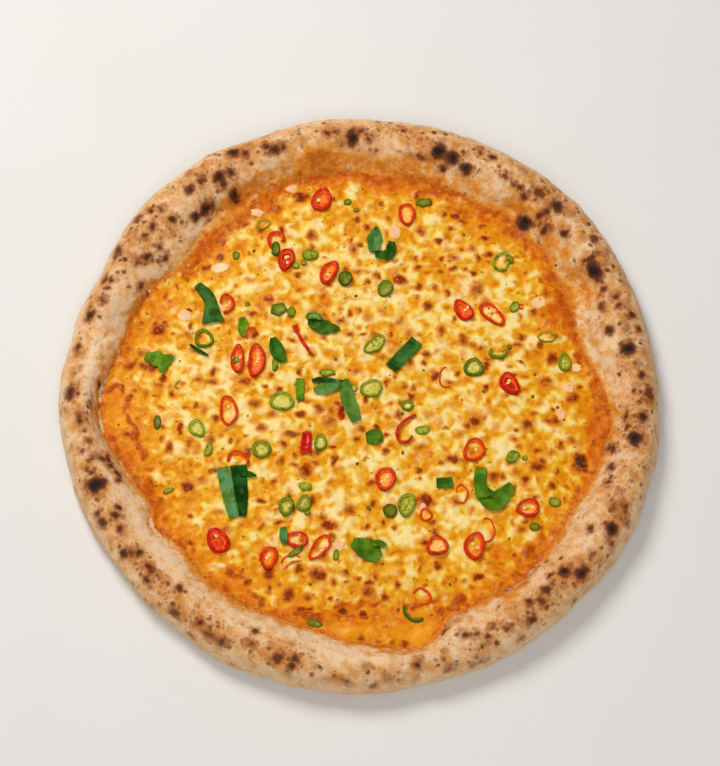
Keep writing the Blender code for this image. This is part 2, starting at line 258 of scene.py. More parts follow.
class Paint:
    """One material and the nodes that make it."""

    def __init__(
        self, name, roughness=0.5, coat=0.0, coat_roughness=0.2, specular=0.5, glint=(1, 1, 1)
    ):
        self.material = bpy.data.materials.new(name)
        self.material.use_nodes = True
        self.tree = self.material.node_tree
        self.shader = self.tree.nodes["Principled BSDF"]
        self.shader.inputs["Roughness"].default_value = roughness
        self.shader.inputs["Coat Weight"].default_value = coat
        self.shader.inputs["Coat Roughness"].default_value = coat_roughness
        self.shader.inputs["Specular IOR Level"].default_value = specular
        self.shader.inputs["Specular Tint"].default_value = (*glint, 1.0)
        self.place = self.node("ShaderNodeTexCoord").outputs["Object"]

    def node(self, kind, **settings):
        made = self.tree.nodes.new(kind)
        for key, value in settings.items():
            setattr(made, key, value)
        return made

    def put(self, socket, value):
        if isinstance(value, bpy.types.NodeSocket):
            self.tree.links.new(value, socket)
        else:
            socket.default_value = value

    def value(self, name):
        return self.node("ShaderNodeAttribute", attribute_name=name).outputs["Fac"]

    def noise(self, size, detail=2.0, roughness=0.5, place=None, warp=0.0):
        made = self.node("ShaderNodeTexNoise")
        self.put(made.inputs["Vector"], self.place if place is None else place)
        made.inputs["Scale"].default_value = 1 / (size * MM)
        made.inputs["Detail"].default_value = detail
        made.inputs["Roughness"].default_value = roughness
        made.inputs["Distortion"].default_value = warp
        return made.outputs["Fac"]

    def cells(self, size, place=None, smoothness=None):
        """Distance from the nearest of scattered points, and that point's own number."""
        made = self.node("ShaderNodeTexVoronoi")
        if smoothness is not None:
            made.feature = "SMOOTH_F1"
            made.inputs["Smoothness"].default_value = smoothness
        self.put(made.inputs["Vector"], self.place if place is None else place)
        made.inputs["Scale"].default_value = 1 / (size * MM)
        split = self.node("ShaderNodeSeparateColor")
        self.put(split.inputs["Color"], made.outputs["Color"])
        return made.outputs["Distance"], split.outputs["Red"], split.outputs["Green"]

    def sum(self, kind, a, b=0.0, c=0.0):
        made = self.node("ShaderNodeMath", operation=kind)
        self.put(made.inputs[0], a)
        self.put(made.inputs[1], b)
        self.put(made.inputs[2], c)
        return made.outputs["Value"]

    def step(self, value, low, high, to_low=0.0, to_high=1.0):
        made = self.node("ShaderNodeMapRange", interpolation_type="SMOOTHSTEP")
        for socket, amount in zip(
            ("Value", "From Min", "From Max", "To Min", "To Max"),
            (value, low, high, to_low, to_high),
            strict=True,
        ):
            self.put(made.inputs[socket], amount)
        return made.outputs["Result"]

    def ramp(self, value, *stops):
        made = self.node("ShaderNodeValToRGB")
        elements = made.color_ramp.elements
        while len(elements) < len(stops):
            elements.new(0.5)
        for element, (spot, colour) in zip(elements, stops, strict=True):
            element.position = spot
            element.color = colour
        self.put(made.inputs["Fac"], value)
        return made.outputs["Color"]

    def mix(self, share, a, b, kind="MIX"):
        made = self.node("ShaderNodeMix", data_type="RGBA", blend_type=kind)
        self.put(made.inputs[0], share)
        self.put(made.inputs[6], a)
        self.put(made.inputs[7], b)
        return made.outputs[2]

    def moved(self, amount):
        """The place on the surface, shifted by noise, for ragged edges."""
        made = self.node("ShaderNodeTexNoise")
        self.put(made.inputs["Vector"], self.place)
        made.inputs["Scale"].default_value = 1 / (2.4 * MM)
        made.inputs["Detail"].default_value = 2.0
        off = self.node("ShaderNodeVectorMath", operation="SUBTRACT")
        self.put(off.inputs[0], made.outputs["Color"])
        off.inputs[1].default_value = (0.5, 0.5, 0.5)
        scale = self.node("ShaderNodeVectorMath", operation="SCALE")
        self.put(scale.inputs[0], off.outputs["Vector"])
        scale.inputs["Scale"].default_value = amount * MM
        add = self.node("ShaderNodeVectorMath", operation="ADD")
        self.put(add.inputs[0], self.place)
        self.put(add.inputs[1], scale.outputs["Vector"])
        return add.outputs["Vector"]

    def relief(self, height, depth, under=None):
        made = self.node("ShaderNodeBump")
        made.inputs["Strength"].default_value = 1.0
        made.inputs["Distance"].default_value = depth * MM
        self.put(made.inputs["Height"], height)
        if under is not None:
            self.put(made.inputs["Normal"], under)
        return made.outputs["Normal"]

    def finish(self, colour, roughness=None, normal=None):
        self.put(self.shader.inputs["Base Color"], colour)
        if roughness is not None:
            self.put(self.shader.inputs["Roughness"], roughness)
        if normal is not None:
            self.put(self.shader.inputs["Normal"], normal)
        return self.material


# ---- the crust ---------------------------------------------------------------
def slope_height(share, top):
    return EDGE_HEIGHT + (top - EDGE_HEIGHT) * (1 - (1 - share) ** SLOPE_POWER)


def rim_sections(degrees):
    out, inn, top = outer(degrees), well(degrees), crown(degrees)
    ridge, none = out - CROWN_BACK, 0 * out
    rows = [
        (out - BASE_BACK, none),
        (out - 2.6, none + 1.6),
        (out - 0.5, none + 5.0),
        (out, none + BELLY),
        (out - 0.9, none + BELLY + 4.0),
        (out - 3.8, top - 3.8),
        (out - 7.8, top - 1.1),
        (ridge, top),
    ]
    for share in (0.72, 0.45, 0.2, 0.0):
        rows.append((inn + (ridge - inn) * share, slope_height(share, top)))
    rows.append((inn - 2.5, none + 5.2))
    rows.append((inn - 6.0, none + FLOOR))
    return np.stack([np.stack(row, -1) for row in rows], 1)


def even_curve(rows, steps, fine=12):
    """Smooth curves through rows of points, read at even spacing."""
    before, after = 2 * rows[:, :1] - rows[:, 1:2], 2 * rows[:, -1:] - rows[:, -2:-1]
    padded = np.concatenate([before, rows, after], 1)
    read = []
    for k in range(rows.shape[1] - 1):
        p0, p1, p2, p3 = (padded[:, k + j] for j in range(4))
        for t in np.arange(fine) / fine:
            read.append(
                0.5
                * (
                    2 * p1
                    + (p2 - p0) * t
                    + (2 * p0 - 5 * p1 + 4 * p2 - p3) * t * t
                    + (3 * p1 - p0 - 3 * p2 + p3) * t**3
                )
            )
    read = np.stack([*read, rows[:, -1]], 1)
    run = np.linalg.norm(np.diff(read, axis=1), axis=2)
    run = np.concatenate([np.zeros((len(read), 1)), np.cumsum(run, 1)], 1)
    even = np.empty((len(read), steps, 2))
    for k in range(len(read)):
        at = np.linspace(0, run[k, -1], steps)
        for axis in (0, 1):
            even[k, :, axis] = np.interp(at, run[k], read[k, :, axis])
    return even


def rim_height(x, y):
    """Height of the rim's smooth top over a point of the layout."""
    degrees = np.degrees(np.arctan2(y, x))
    section = even_curve(rim_sections(np.array([degrees])), 90)[0]
    top = section[int(np.argmax(section[:, 0])) :]
    return float(np.interp(np.hypot(x, y), top[::-1, 0], top[::-1, 1]))


def dough_lift(points):
    """How far the uneven dough stands out from its smooth shape."""
    return (
        1.0 * noise(points, 36.0, 11)
        + 0.62 * noise(points, 15.0, 12)
        + 0.26 * noise(points, 6.5, 13)
        + 0.12 * noise(points, 3.0, 14, 2)
    )


# Scorched blisters on the rim: direction, distance from the middle, size across
# and along the spoke, and how dark they are, 1 being black. Directions and
# distances are as seen from above the near side, at a height of 14 mm.
SCORCH = (
    (4, 152.5, 9, 6, 0.7), (8, 149, 3, 3, 1), (14, 144, 7.5, 8, 1), (18.5, 145.5, 3, 3, 0.6),
    (19, 137, 4, 4, 1), (17.8, 153, 3, 3, 1), (21.5, 151.5, 4, 3, 1), (24.3, 147, 3, 3, 0.9),
    (26.3, 147.5, 2, 2, 1), (25, 138, 4, 4, 0.6), (27.8, 139.5, 2, 2, 0.9), (29, 143, 2.5, 2.5, 1),
    (33.5, 144, 11, 8, 1), (36.4, 147, 2.5, 8, 0.9), (39.5, 154, 6, 5, 0.5), (44.3, 143.5, 4.5, 4.5, 1),
    (47.8, 137, 4, 6, 0.9), (49.8, 152, 7, 6, 0.9), (50.5, 145.5, 4, 4, 1), (51, 140.5, 3, 3, 1),
    (52.3, 131.5, 9, 10, 1), (54.5, 151.5, 7, 5, 0.6), (56.5, 144, 4, 4, 0.9), (58.5, 147, 2, 2, 1),
    (60, 147, 2, 2, 1), (62.5, 148.5, 6, 4, 0.7), (67, 155.5, 3.5, 3.5, 0.9), (69.7, 155.5, 3, 3, 0.9),
    (71, 142.5, 7, 6, 0.8), (74.5, 145.5, 8, 7, 1), (77.8, 147, 8, 8, 1), (76, 137.5, 3.5, 3.5, 1),
    (82, 141.5, 9, 3, 0.45), (86.3, 155.5, 2.5, 2.5, 0.9), (93.3, 148.5, 3, 3, 0.9), (95, 153.5, 3, 3, 1),
    (96.8, 149, 6, 9, 1), (100, 153, 2, 2, 1), (102, 152.3, 2.5, 2.5, 1), (111.7, 149.5, 3, 3, 0.8),
    (113.8, 149.5, 6, 5, 1), (115, 152, 4, 4, 0.9), (121.8, 156, 6, 5, 0.9), (119.5, 153, 3, 3, 0.9),
    (124.5, 145.5, 4, 4, 0.9), (127.2, 147, 6, 6, 1), (127.5, 142, 4, 5, 1), (126.5, 134, 5, 7, 0.9),
    (131, 150, 3, 3, 1), (133.8, 149.5, 5, 4, 0.9), (134, 135.2, 9, 6, 1), (137, 135, 5, 4.5, 0.9),
    (141.3, 142.5, 3.5, 3.5, 0.9), (141.2, 151.2, 2.5, 2.5, 1), (146, 157.5, 5, 4, 0.9), (143, 155, 3, 3, 0.9),
    (145.3, 147.8, 3, 3, 1), (147.8, 147, 2, 2, 1), (148.3, 137, 3, 3, 0.9), (151.5, 138.7, 5, 3.5, 0.9),
    (150, 130.7, 4, 3, 0.8), (154, 154.5, 7, 4, 0.9), (154, 141.5, 2, 2, 1), (158.8, 133.2, 4, 3, 0.6),
    (161, 152, 3, 3, 1), (160.5, 148.5, 2, 2, 1), (162.3, 148.5, 2, 2, 1), (165.2, 148, 4, 3, 0.9),
    (169, 151, 5, 4, 0.9), (176.4, 154, 4, 3, 0.9), (184.3, 139.5, 3, 3, 0.9), (186.2, 155.2, 7, 5, 1),
    (188.5, 144.5, 4, 2, 0.8), (191.8, 150, 4, 2, 1), (196.5, 148, 2, 2, 1), (198.5, 151, 2, 2, 0.9),
    (200.6, 147.6, 2.2, 2.2, 1), (202.6, 151.5, 2, 2, 1), (201, 142.5, 3, 3, 1), (201.5, 139.5, 4, 3, 1),
    (203.3, 139.5, 3, 3, 0.9), (205.5, 138, 5, 3, 0.9), (207, 138.5, 3, 3, 0.9), (206.3, 149.8, 8, 10, 1),
    (203.4, 150.4, 2.6, 3, 0.8), (212.5, 144, 3, 3, 1), (213.7, 147, 3, 3, 1), (211.8, 155, 3, 3, 0.9),
    (213.7, 155, 4, 4, 0.9), (216.7, 148.5, 3, 3, 1), (221.3, 154.8, 4, 4, 0.9), (221.7, 150.3, 2.5, 2.5, 1),
    (223, 147.5, 3.5, 3.5, 1), (226.7, 148.8, 4, 2.5, 1), (228.3, 153.5, 3, 3, 0.9), (236.6, 157.5, 5.5, 4, 0.9),
    (234, 145.5, 3, 3, 0.9), (241.5, 153.5, 3, 3, 0.9), (241.5, 161.5, 4, 2, 0.8), (244, 156.7, 5, 3, 0.9),
    (247.3, 156.5, 4, 4, 0.9), (252.2, 151, 3, 3, 0.9), (252, 144.8, 3, 3, 0.8), (258, 153.5, 6, 6, 0.45),
    (261.3, 151.5, 3, 3, 0.9), (261, 155, 3, 3, 0.9), (271, 159, 4, 3, 0.5), (276.3, 161.5, 3, 3, 0.8),
    (278.5, 157.5, 2, 2, 0.9), (284.8, 152.7, 3, 3, 0.9), (290.5, 158, 6, 4, 0.4), (296.3, 160, 5, 2.5, 0.8),
    (295.5, 144, 3.5, 3.5, 0.8), (297.5, 146, 2, 2, 0.9), (299.5, 149.5, 2, 2, 1), (301.5, 145.5, 2, 2, 0.9),
    (303.5, 150, 2.2, 2.2, 1), (292, 138.5, 4, 2, 0.7), (305, 158, 2.5, 2.5, 0.9), (308.7, 152.7, 5, 3.5, 1),
    (310.5, 144.8, 3, 3, 1), (312.5, 148, 4, 4, 0.7), (314.8, 145.3, 4, 3, 1), (316.8, 145, 3, 3, 1),
    (317.5, 140.5, 2.5, 2.5, 1), (317.5, 159, 3, 3, 0.9), (320.4, 144, 6.5, 5.5, 1), (322.5, 151.5, 7, 5.5, 1),
    (327, 149.5, 3, 3, 0.5), (331, 154, 3, 3, 0.9), (333.5, 150, 6, 6, 1), (331, 141, 3, 3, 0.9),
    (336, 155, 3, 3, 0.9), (338, 146, 4, 4, 0.5), (339, 151, 3, 3, 0.9), (342.5, 138, 3, 3, 1),
    (346.5, 136.5, 4, 3, 1), (350.5, 135.5, 4, 5, 1), (353.8, 146, 8, 7, 1), (356.2, 141.3, 2, 2, 1),
    (358.6, 148.5, 6, 5, 1), (358.5, 140, 4, 3, 0.9),
)  # fmt: skip
# Paler places, partly flour on the dough and partly painted light where the slope lies in shade; a negative amount
# paints them darker, partly as painted shade: direction, distance, half widths in degrees and mm, amount.
FLOUR_AND_PAINTED_LIGHT = (
    (171, 140, 15, 9, 1.1), (275, 143, 22, 9, 1.3), (62, 140.5, 3, 4, 1.3), (222, 138, 12, 7, 1.5),
    (188, 142, 10, 5, 1.0), (240, 153, 15, 9, -0.45), (212, 152, 8, 8, -0.2), (333, 150, 12, 8, -0.2),
    (45, 138, 11, 5, -1.0), (92, 136, 12, 5, -0.5), (181, 143, 9, 6, 0.7), (268, 138, 10, 5, 0.6),
    (207, 143, 6, 5, 0.8), (14, 131, 6, 5, 0.8), (327.5, 146, 4, 10, 0.6), (243, 140, 9, 8, 0.7),
    (310, 136, 8, 5, 0.6), (68, 146, 3, 5, 0.5), (88, 146, 4, 5, 0.6), (40, 136, 4, 4, 0.6),
    (350, 140, 5, 4, 0.4), (120, 136, 5, 4, 0.5), (140, 128, 6, 5, 0.5), (158, 130, 6, 6, 0.7),
)  # fmt: skip
# Oil and sauce soaked into the dough, in the same way.
SOAKED = (
    (30, 132, 4, 6, 0.8), (105, 137, 5.5, 6.5, 1.45), (127, 127, 6, 5, 1.35), (82, 136, 5, 4, 0.9),
    (56, 138, 4, 4, 1.0), (285, 140, 7, 3, 0.6), (309, 134, 3, 4, 0.7), (278, 139, 5, 3, 0.6),
    (357, 132, 6, 3, 0.7), (220, 134, 3, 3, 0.5), (244, 136, 9, 4, 0.45), (93, 133, 7, 4, 0.9),
    (118, 134, 6, 4, 0.8), (42, 134, 6, 4, 0.7), (68, 134, 5, 4, 0.6), (190, 136, 8, 5, 0.8), (178, 139, 9, 5, 0.45),
)  # fmt: skip
# How far out from the cheese the stain spreads, direction by direction.
CLIMB = (
    (31, 10.0, 4.5), (43, 2.0, 4), (56, 7.0, 5), (80, 6.5, 7), (105, 9.0, 7), (128, 8.0, 8),
    (238, 3.0, 8), (277, 2.5, 5), (308, 5.0, 4),
)  # fmt: skip
# Where the cheese gives way to stained dough before the foot of the slope.
BRINK = (
    (6, -2.5, 5), (14, -3.5, 5), (22, -6.5, 5), (30, -11.0, 4.5), (37, -3.0, 4),
    (53, -7.0, 5), (62, -2.5, 5), (129, -8.0, 8),
)  # fmt: skip


def brink(degrees):
    return well(degrees) - 0.5 + swell(degrees, BRINK)


EYE = np.array([0.0, -430.0, 1120.3])  # where the eye is, in the layout


@functools.cache
def seen_on_rim(degrees, distance):
    """The point of the rim that lies behind a point seen at a height of 14 mm."""
    turn = math.radians(degrees)
    seen = np.array([distance * math.cos(turn), distance * math.sin(turn), 14.0])
    spot = seen.copy()
    for _ in range(6):
        height = max(rim_height(spot[0], spot[1]), CHEESE_TOP)
        share = (0.5 * (height + spot[2]) - EYE[2]) / (14.0 - EYE[2])
        spot = EYE + (seen - EYE) * share
    spot[2] = max(rim_height(spot[0], spot[1]), CHEESE_TOP)
    return spot


def blot(points, centre, across, along):
    """Distance from the middle of a spot on the rim, 1 being its edge."""
    reach = math.hypot(centre[0], centre[1])
    turn = math.atan2(centre[1], centre[0])
    radius = np.hypot(points[:, 0], points[:, 1])
    off = (np.arctan2(points[:, 1], points[:, 0]) - turn + np.pi) % (2 * np.pi) - np.pi
    side = off * reach / (across / 2)
    out = np.hypot(radius - reach, points[:, 2] - centre[2]) / (along / 2)
    return np.hypot(side, out)


def scorched(points):
    """How near scorched blisters are, how toasted that is, and how far they rise."""
    scorch, toasted = np.full(len(points), -1.5), np.full(len(points), -1.5)
    lift = np.zeros(len(points))
    for turn, distance, across, size, dark in SCORCH:
        d = blot(points, seen_on_rim(turn, distance), across, size)
        edge = (1 - d) * min(across, size) / 4
        if dark > 0.75:
            scorch = np.maximum(scorch, edge - (1 - dark) * 0.4)
        toasted = np.maximum(toasted, edge + 0.8 * min(1.0, dark))
        tall = min(0.75, 0.055 * (across + size))
        lift += tall * np.clip(1 - (d / 1.5) ** 2, 0, 1) ** 2
        lift -= 0.25 * tall * np.clip(1 - (d / 0.7) ** 2, 0, 1) ** 2
    return scorch, toasted, lift


DOUGH_VALUES = (
    "scorch", "toasted", "flour_and_painted_light", "soaked", "crest", "outside", "under", "foot",
)  # fmt: skip


def dough_values(points, scorch, toasted):
    """What the paint needs to know at each point of the dough."""
    radius = np.hypot(points[:, 0], points[:, 1])
    degrees = np.degrees(np.arctan2(points[:, 1], points[:, 0]))
    out = outer(degrees)

    def zones(rows):
        total = np.zeros(len(points))
        for turn, distance, half_turn, half_wide, amount in rows:
            spot = seen_on_rim(turn, distance)
            turn = math.degrees(math.atan2(spot[1], spot[0]))
            off = (degrees - turn + 180) % 360 - 180
            wide = (radius - math.hypot(spot[0], spot[1])) / half_wide
            total += amount * np.exp(-((off / half_turn) ** 2) - wide**2)
        return total

    up = smooth(points[:, 2], 3.0, 9.0)
    climb = 4.2 + swell(degrees, CLIMB)
    climb *= 1 + 0.35 * noise(points, 14.0, 42) + 0.3 * noise(points, 5.0, 41, 2)
    soaked = np.clip(1.25 - (radius - brink(degrees)) / np.maximum(climb, 1.6), 0, 1.25)
    soaked = np.maximum(soaked, np.clip(zones(SOAKED), 0, 1.4))
    return {
        "scorch": scorch,
        "toasted": toasted,
        "flour_and_painted_light": np.clip(zones(FLOUR_AND_PAINTED_LIGHT), -1, 1.6),
        "soaked": soaked * up,
        "crest": np.exp(-(((radius - out + 9.5) / 8.5) ** 2)) * up,
        "outside": smooth(radius, out - 7.0, out - 1.0),
        "under": smooth(points[:, 2], 3.2, 0.8) * smooth(radius, 0, 1),
        "foot": smooth(points[:, 2], 11.0, 3.5) * smooth(radius, out - 16.0, out - 9.0),
    }


def dough_paint(p):
    """Colour of the baked dough, how oily it is, and its small relief."""
    cream, wheat, tan = tint(230, 193, 150), tint(220, 167, 112), tint(202, 133, 76)
    toast, brown, black = tint(160, 86, 38), tint(92, 44, 20), tint(32, 22, 24)
    pale = tint(232, 198, 158)
    ragged = p.moved(1.3)
    patch = p.noise(17.0, 3.0, 0.55)
    grain = p.noise(5.0, 3.0, 0.6)
    fine = p.noise(1.6, 2.0, 0.6)
    bake = p.sum("MULTIPLY_ADD", grain, 0.7, p.sum("MULTIPLY", patch, 0.5))
    bake = p.sum("MULTIPLY_ADD", fine, 0.22, bake)
    bake = p.sum("MULTIPLY_ADD", p.value("crest"), 0.06, bake)
    # Paler where flour lies and where light is painted onto shaded slopes; where the amount is negative, darker as
    # painted shade.
    bake = p.sum("MULTIPLY_ADD", p.value("flour_and_painted_light"), -0.12, bake)
    # The outer wall is baked paler, partly less-baked dough and partly a painted highlight on the outer edge.
    bake = p.sum("MULTIPLY_ADD", p.value("outside"), -0.1, bake)
    colour = p.ramp(bake, (0.59, cream), (0.74, wheat), (0.88, tan), (1.0, toast))
    # Paled further towards cream, partly flour and partly painted light.
    colour = p.mix(p.step(p.value("flour_and_painted_light"), 0.6, 1.6, 0.0, 0.6), colour, tint(240, 208, 170))
    # How near a scorched blister is, its edge ragged.
    wobble = p.sum("SUBTRACT", p.noise(3.4, 3.0, 0.5), 0.5)
    halo = p.sum("MULTIPLY_ADD", wobble, 3.0, p.value("toasted"))
    # Small toasted specks, in crowds on the crest and few where the paler flour and painted light lie.
    crowd = p.sum("MULTIPLY_ADD", p.sum("SUBTRACT", patch, 0.5), 1.7, 0.26)
    often = p.sum("MULTIPLY_ADD", p.value("crest"), 0.34, crowd)
    often = p.sum("MULTIPLY_ADD", p.value("flour_and_painted_light"), -0.3, often)
    often = p.sum("MULTIPLY_ADD", p.value("outside"), -0.25, often)
    often = p.sum("MULTIPLY_ADD", p.step(halo, -1.5, 0.0), 0.35, often)
    near, lot, tone = p.cells(6.5, ragged)
    chance = p.step(p.sum("SUBTRACT", often, lot), -0.05, 0.3)
    size = p.sum("MULTIPLY_ADD", tone, 0.26, 0.22)
    soft = p.step(p.sum("SUBTRACT", size, near), -0.28, 0.16)
    colour = p.mix(p.sum("MULTIPLY", p.sum("MULTIPLY", soft, chance), 0.6), colour, toast)
    near, lot, tone = p.cells(2.1, p.moved(1.0))
    chance = p.step(p.sum("SUBTRACT", often, lot), -0.1, 0.3, 0.0, 0.55)
    soft = p.step(p.sum("SUBTRACT", 0.34, near), -0.22, 0.2)
    colour = p.mix(p.sum("MULTIPLY", soft, chance), colour, tint(136, 70, 32))
    near, lot, tone = p.cells(3.4, ragged)
    chance = p.step(p.sum("SUBTRACT", often, lot), 0.0, 0.22)
    size = p.sum("MULTIPLY_ADD", tone, 0.28, 0.18)
    speck = p.step(p.sum("SUBTRACT", size, near), -0.22, 0.2)
    dark = p.sum("MULTIPLY", chance, p.sum("MULTIPLY_ADD", tone, 0.6, 0.38))
    colour = p.mix(p.sum("MULTIPLY", speck, dark), colour, brown)
    # Oil and sauce by the cheese.
    oil = p.sum("MULTIPLY_ADD", p.sum("SUBTRACT", grain, 0.5), 2.3, p.value("soaked"))
    oil = p.sum("MULTIPLY_ADD", p.sum("SUBTRACT", fine, 0.5), 0.9, oil)
    colour = p.mix(p.step(oil, 0.0, 0.6, 0.0, 0.75), colour, tint(220, 152, 66))
    colour = p.mix(p.step(oil, 0.4, 0.95, 0.0, 0.85), colour, tint(212, 122, 22))
    colour = p.mix(p.step(oil, 0.95, 1.5, 0.0, 0.8), colour, tint(176, 84, 4))
    # The scorched blisters and the soft browning round them.
    colour = p.mix(p.step(halo, -0.9, 0.8, 0.0, 0.7), colour, toast)
    colour = p.mix(p.step(halo, 0.1, 1.2, 0.0, 0.85), colour, brown)
    burnt = p.sum("MULTIPLY_ADD", wobble, 1.7, p.value("scorch"))
    colour = p.mix(p.step(burnt, -0.3, 1.45, 0.0, 0.97), colour, black)
    # The outer wall and its foot are painted paler: partly less-baked, floury dough and partly a painted highlight of
    # light catching the outer edge.
    colour = p.mix(p.sum("MULTIPLY", p.value("outside"), 0.25), colour, pale)
    colour = p.mix(p.sum("MULTIPLY", p.value("foot"), 0.5), colour, pale)
    rough = p.step(oil, 0.3, 1.0, 0.78, 0.45)
    normal = p.relief(p.noise(0.9, 3.0, 0.65), 0.22)
    normal = p.relief(grain, 0.5, normal)
    return colour, rough, normal, wobble


def make_crust():
    many, steps = 1024, 72
    turns = np.arange(many) * 360 / many
    sections = even_curve(rim_sections(turns), steps)
    c, s = np.cos(np.radians(turns))[:, None], np.sin(np.radians(turns))[:, None]
    grid = np.stack(
        [sections[:, :, 0] * c, sections[:, :, 0] * s, sections[:, :, 1]], -1
    )
    around = np.roll(grid, -1, 0) - np.roll(grid, 1, 0)
    along = np.gradient(grid, axis=1)
    normal = np.cross(around, along)
    normal /= np.linalg.norm(normal, axis=2, keepdims=True)
    flat = grid.reshape(-1, 3)
    radius = np.hypot(flat[:, 0], flat[:, 1])
    degrees = np.degrees(np.arctan2(flat[:, 1], flat[:, 0]))
    inn, out = well(degrees), outer(degrees)

    lift = dough_lift(flat)
    # Wrinkles down the inner slope, narrow across it and long down it.
    spoke = np.stack([np.radians(degrees) * 26.0, radius / 16.0, flat[:, 2] * 0], 1)
    slope = smooth(radius, inn - 1, inn + 4) * smooth(radius, out - 9, out - 16)
    lift += 0.34 * slope * noise(spoke, 1.0, 21, 2)
    rng = np.random.default_rng(71)
    for _ in range(90):
        turn, back = rng.uniform(0, 360), rng.uniform(2, 25)
        wide, tall = rng.uniform(3.0, 7.5), rng.uniform(0.25, 0.8)
        spot = seen_on_rim(turn, float(outer(turn)) - back)
        d = blot(flat, spot, wide * 2, wide * 2)
        lift += tall * np.clip(1 - d * d, 0, 1) ** 2
    scorch, toasted, rising = scorched(flat)
    lift += rising

    hidden = smooth(radius, inn - 4.5, inn - 0.5)
    low = smooth(flat[:, 2], 0.2, 3.0)
    lift *= low * hidden
    flat = flat + normal.reshape(-1, 3) * lift[:, None]
    flat[:, 2] = np.clip(flat[:, 2], 0.0, 22.55)
    grid = flat.reshape(many, steps, 3)

    # The base, from its middle out, then the rim, then the floor under the cheese.
    rings = []
    base = sections[:, 0, 0]
    for share, every in (
        (0.03, 64), (0.08, 32), (0.15, 16), (0.2, 16), (0.25, 8), (0.31, 8), (0.37, 8),
        (0.43, 4), (0.48, 4), (0.53, 4), (0.58, 4), (0.63, 4), (0.68, 4), (0.73, 4),
        (0.78, 2), (0.81, 2), (0.84, 2), (0.87, 2), (0.9, 2), (0.925, 2), (0.95, 2),
        (0.97, 1), (0.985, 1),
    ):  # fmt: skip
        x, y = base[::every] * share * c[::every, 0], base[::every] * share * s[::every, 0]
        ring = np.stack([x, y, 0 * x], 1)
        ring[:, 2] = np.clip(0.5 * noise(ring, 17.0, 31, 2) - 0.08, 0, 0.6) * (1 - share**8)
        rings.append(ring)
    rings += [grid[:, step] for step in range(steps)]
    for share, every in ((0.97, 2), (0.92, 4), (0.8, 8), (0.6, 16), (0.35, 32)):
        ring = grid[::every, -1] * (share, share, 1.0)
        rings.append(ring)
    points, faces = skin(rings, np.zeros(3), np.array([0, 0, FLOOR]))
    tree = BVHTree.FromPolygons(points.tolist(), faces)

    # What the paint needs to know at each point.
    def spread(values, fill):
        whole = np.full(len(points), fill, float)
        start = 1 + sum(len(ring) for ring in rings[:23])
        whole[start : start + many * steps] = (
            values.reshape(many, steps).T.reshape(-1)
        )
        return whole

    pile = Pile(*DOUGH_VALUES)
    values = dough_values(points, spread(scorch, -1.5), spread(toasted, -1.5))
    pile.add(points, faces, **values)

    p = Paint("baked_dough", roughness=0.75, specular=0.12, glint=(1.0, 0.85, 0.7))
    colour, rough, normal, wobble = dough_paint(p)
    # The base is floury with brown spots.
    near, lot, tone = p.cells(11.0, p.moved(5.0))
    spots = p.sum("MULTIPLY_ADD", wobble, 0.5, p.sum("SUBTRACT", tone, near))
    leopard = p.ramp(
        spots, (0.0, tint(226, 191, 146)), (0.28, tint(206, 158, 108)),
        (0.5, tint(160, 100, 56)), (0.7, tint(70, 42, 28)),
    )  # fmt: skip
    cream = tint(237, 207, 165)
    leopard = p.mix(p.step(p.noise(26.0, 3.0), 0.45, 0.7, 0.0, 0.6), leopard, cream)
    colour = p.mix(p.value("under"), colour, leopard)
    pile.make("baked_crust", p.finish(colour, rough, normal), ["crust"])
    return tree


# ---- the cheese --------------------------------------------------------------
def cheese_height(x, y, share):
    wave = (
        np.sin(x / 11.0 + 1.3) * np.cos(y / 13.0 - 0.4)
        + 0.6 * np.sin((x + y) / 17.0 + 2.1)
        + 0.5 * np.cos((x - 1.4 * y) / 9.0)
    )
    moat = -0.7 * np.exp(-(((share - 0.93) / 0.05) ** 2))
    return CHEESE_TOP + CHEESE_WAVE * wave * (1 - share**6) * 0.6 + moat


